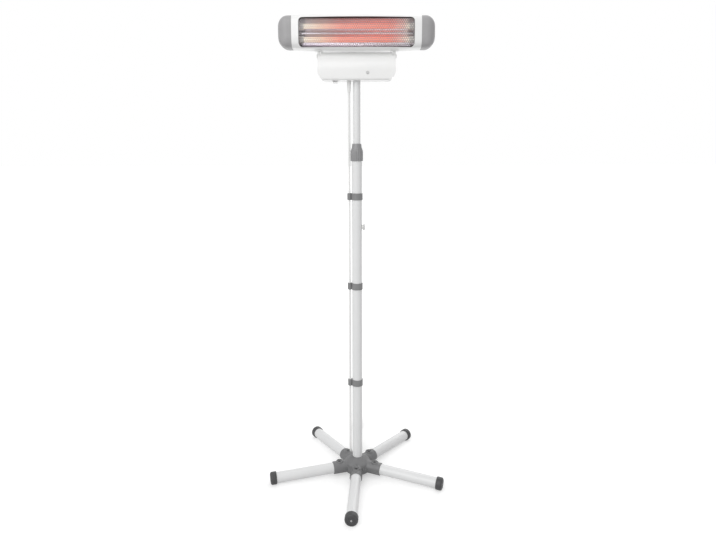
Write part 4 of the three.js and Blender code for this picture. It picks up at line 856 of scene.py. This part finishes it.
wells = [("head", x, z, head_well_foot, skin_depth(x, z - head_middle.z)) for x, z in head_wells]
wells += [("mast", x, z, box_well_foot, box_depth / 2) for x, z in box_wells]
for number, (body, x, z, foot, skin) in enumerate(wells, 1):
    at_back = Matrix.Translation(mast_line + Vector((x, foot, z))) @ facing_back
    rise = skin - foot
    well_profile = [(well_radius, -2 * mm), (well_radius, rise - well_lip), (well_radius - 0.5 * mm, rise),
                    (well_bore + 0.3 * mm, rise), (well_bore, rise - well_lip), (well_bore, 0)]
    well = solid_turned(well_profile, segments=40, place=at_back)
    show(f"screw_well_{number}", well, body, casing_plastic, angle=50)
    made = screw(at_back, closing_screw_radius, closing_screw_rise)
    show(f"closing_screw_{number}", made, body, black_screw, angle=30)

# End caps: two grey moulded ends pushed on the casing, straight on their inner edge and well rounded
# outside.
grey_plastic = Finish("grey_plastic", (0.345, 0.34, 0.345), 0.42)
grey_plastic.vary(mottle=(35, 0.03), gloss=(150, 0.12, 0.36), grain=(2400, 0.04, 0.45, 1))
bend_start, bend_steps = head_width / 2 - cap_bend, 14
cap_stations = [casing_half + 0.3 * mm, bend_start]
cap_stations += [bend_start + cap_bend * math.sin(k / bend_steps * tau / 4) for k in range(1, bend_steps)]
for side, name in ((-1, "left"), (1, "right")):
    cap = head_loft([side * x for x in cap_stations], 0)
    bmesh.ops.translate(cap, vec=head_middle, verts=cap.verts)
    show(f"end_{name}", cap, "head", grey_plastic, f"end_cap_{name}", edge=0.6 * mm)

# Grille: a pressed steel net with staggered six-sided holes, curved like the casing. A thin darker steel
# rim holds it in the window.
grille_steel = Finish("grille_steel", (0.28, 0.27, 0.28), 0.34, Metallic=0.9)
grille_steel.vary(gloss=(700, 0.2, 0.25), grain=(1500, 0.02, 0.4))
hole_pitch, row_pitch, strand = 6.4 * mm, 5.55 * mm, 1.6 * mm
net_inset, net_thickness = head_wall + 1.0 * mm, 0.7 * mm
rim_inset, rim_thickness, rim_inner, rim_outer = head_wall + 0.4 * mm, 0.5 * mm, -2.4 * mm, -0.1 * mm


def window_front(z, inset):
    """Where the front skin lies at a height, on the casing's section at the window's ends."""
    return -skin_depth(window_width / 2, z, inset, most=0.97)


net = bmesh.new()
rows, columns = int(window_height / row_pitch) + 2, int(window_width / hole_pitch) + 2
cell_radius = hole_pitch / math.sqrt(3)
for row in range(rows):
    for column in range(columns):
        x = (column - (columns - 1) / 2 + (row % 2) / 2) * hole_pitch
        z = (row - (rows - 1) / 2) * row_pitch
        if abs(x) > window_width / 2 or abs(z) > window_height / 2:
            continue
        upright = facing_front @ Matrix.Rotation(math.pi / 6, 4, "Z")
        place = Matrix.Translation((x, 0, z + window_low)) @ upright
        bmesh.ops.create_circle(net, cap_ends=True, radius=cell_radius, segments=6, matrix=place)
bmesh.ops.remove_doubles(net, verts=net.verts, dist=0.35 * mm)
bmesh.ops.inset_individual(net, faces=list(net.faces), thickness=strand / 2)
bmesh.ops.delete(net, geom=[f for f in net.faces if len(f.verts) == 6], context="FACES")
for corner in net.verts:
    corner.co.y = window_front(corner.co.z, net_inset)
bmesh.ops.recalc_face_normals(net, faces=net.faces)
bmesh.ops.solidify(net, geom=list(net.faces), thickness=net_thickness)
bmesh.ops.translate(net, vec=head_middle, verts=net.verts)
show("guard_net", net, "head", grille_steel, "grille", angle=60)
rim_steel = Finish("rim_steel", (0.16, 0.155, 0.15), 0.35, Metallic=0.8)
rim_steel.vary(gloss=(300, 0.2, 0.3), grain=(900, 0.05, 0.5))
rim_band = bmesh.new()
outer_loop, inner_loop = [
    [rim_band.verts.new((x, window_front(z, rim_inset), z)) for x, z in window_outline(grow)]
    for grow in (rim_outer, rim_inner)]
for k in range(len(outer_loop)):
    after = (k + 1) % len(outer_loop)
    rim_band.faces.new((outer_loop[k], outer_loop[after], inner_loop[after], inner_loop[k]))
bmesh.ops.recalc_face_normals(rim_band, faces=rim_band.faces)
bmesh.ops.solidify(rim_band, geom=list(rim_band.faces), thickness=rim_thickness)
bmesh.ops.translate(rim_band, vec=head_middle, verts=rim_band.verts)
show("guard_rim", rim_band, "head", rim_steel, angle=60)

# Reflector and tubes: a bright sheet pressed into a trough behind each quartz tube, with an end plate at each
# side. The sheet's colour carries painted shade that darkens it towards the left and lightens it towards the
# right, against the key lamp's reflection there. The tubes glow orange-red, and their ends sit in cream
# ceramic holders. A thermal cut-out in the same cream lies in the casing.
mirror_sheet = Finish("mirror_sheet", (0.86, 0.83, 0.87), 0.16, Metallic=1.0)
rolled = mirror_sheet.noise(150, 2, (0.01, 1, 1))
# Painted shade: the sheet's rolled grain plus a ramp along X, darker on the left and lighter on the right,
# evens out the key lamp's reflection.
rolling_plus_painted_shade = rolled + mirror_sheet.node("SeparateXYZ", Vector=mirror_sheet.place()) * 1.4
sheet_tone_and_painted_shade = mirror_sheet.ramp(rolling_plus_painted_shade, (0.3, (0.62, 0.58, 0.63)), (0.62, (0.97, 0.94, 0.97)))
mirror_sheet.drive("Base Color", sheet_tone_and_painted_shade)
mirror_sheet.drive("Roughness", mirror_sheet.noise(900, 2, (0.05, 1, 1)) * 0.14 + 0.08)
mirror_sheet.relief(rolled, 0.5 * mm, 0.5)
reflector_width, reflector_half, ridge_half, sheet_thickness = 346 * mm, 40 * mm, 0.9 * mm, 0.9 * mm
reflector_front, ridge, reflector_back = -25 * mm, -10 * mm, 10 * mm
trough_steps, trough_fullness = 24, 0.8
tube_low, tube_spacing, tube_place, tube_half = -2.5 * mm, 38 * mm, -15 * mm, 160 * mm
tube_radius, tube_bore = 7.5 * mm, 6.3 * mm
troughs = ((-reflector_half, -ridge_half, reflector_front, ridge),
           (ridge_half, reflector_half, ridge, reflector_front))
sheet = []
for low, high, first, last in troughs:
    for k in range(trough_steps + 1):
        share = k / trough_steps
        base = first + (last - first) * share
        depth = base + (reflector_back - base) * max(math.sin(math.pi * share), 0) ** trough_fullness
        sheet.append((depth, low + (high - low) * share + tube_low))
outline = sheet + [(y + sheet_thickness, z) for y, z in reversed(sheet)]
trough = slab(outline, -reflector_width / 2, reflector_width / 2, "X")
bmesh.ops.translate(trough, vec=head_middle, verts=trough.verts)
show("mirror_trough", trough, "head", mirror_sheet, "reflector")
glow = Finish("quartz_glow", (0.8, 0.32, 0.24), 0.2, Emission_Strength=0.6)
across = glow.node("SeparateXYZ", Vector=glow.place()) / (2 * tube_half) + 0.5
heat = across + (glow.noise(60) - 0.5) * 0.1
emitted = glow.ramp(heat, (0.02, (0.92, 0.80, 0.62)), (0.16, (0.92, 0.60, 0.38)), (0.36, (0.95, 0.24, 0.15)),
                    (0.8, (0.86, 0.19, 0.11)), (0.93, (0.62, 0.24, 0.19)), (1.0, (0.5, 0.4, 0.3)))
tinted = glow.ramp(heat, (0.02, (0.84, 0.77, 0.68)), (0.36, (0.82, 0.34, 0.27)), (0.85, (0.76, 0.30, 0.25)),
                   (1.0, (0.86, 0.80, 0.72)))
glow.drive("Emission Color", emitted)
glow.drive("Base Color", tinted)
glow.relief(glow.noise(400), 0.05 * mm, 0.3)
for side, name in ((-1, "lower"), (1, "upper")):
    centre = head_middle + Vector((0, tube_place, tube_low + side * tube_spacing / 2))
    tube_axis = Matrix.Translation(centre) @ lay_along_x
    tube = pipe(tube_radius, tube_bore, -tube_half, tube_half, segments=48, place=tube_axis)
    show(f"quartz_{name}", tube, "head", glow, f"quartz_tube_{name}")
dress(glow, "heating_coil_lower", "heating_coil_upper")
for name in ("left_lower", "left_upper", "right_lower", "right_upper"):
    refined("ceramic_" + name, "head", ceramic_body, 0.5 * mm)
dress(ceramic_body, "thermal_cutout")
dress(mirror_sheet, "end_plate_left", "end_plate_right")

# Tilt joint: two white moulded arms under the head that turn on zinc-plated steel pins in the notches at
# the ends of the box's ridge.
for name in ("left", "right"):
    refined("tilt_arm_" + name, "head", casing_plastic, 0.5 * mm)
    refined("pivot_pin_" + name, "head", zinc, 0.3 * mm)
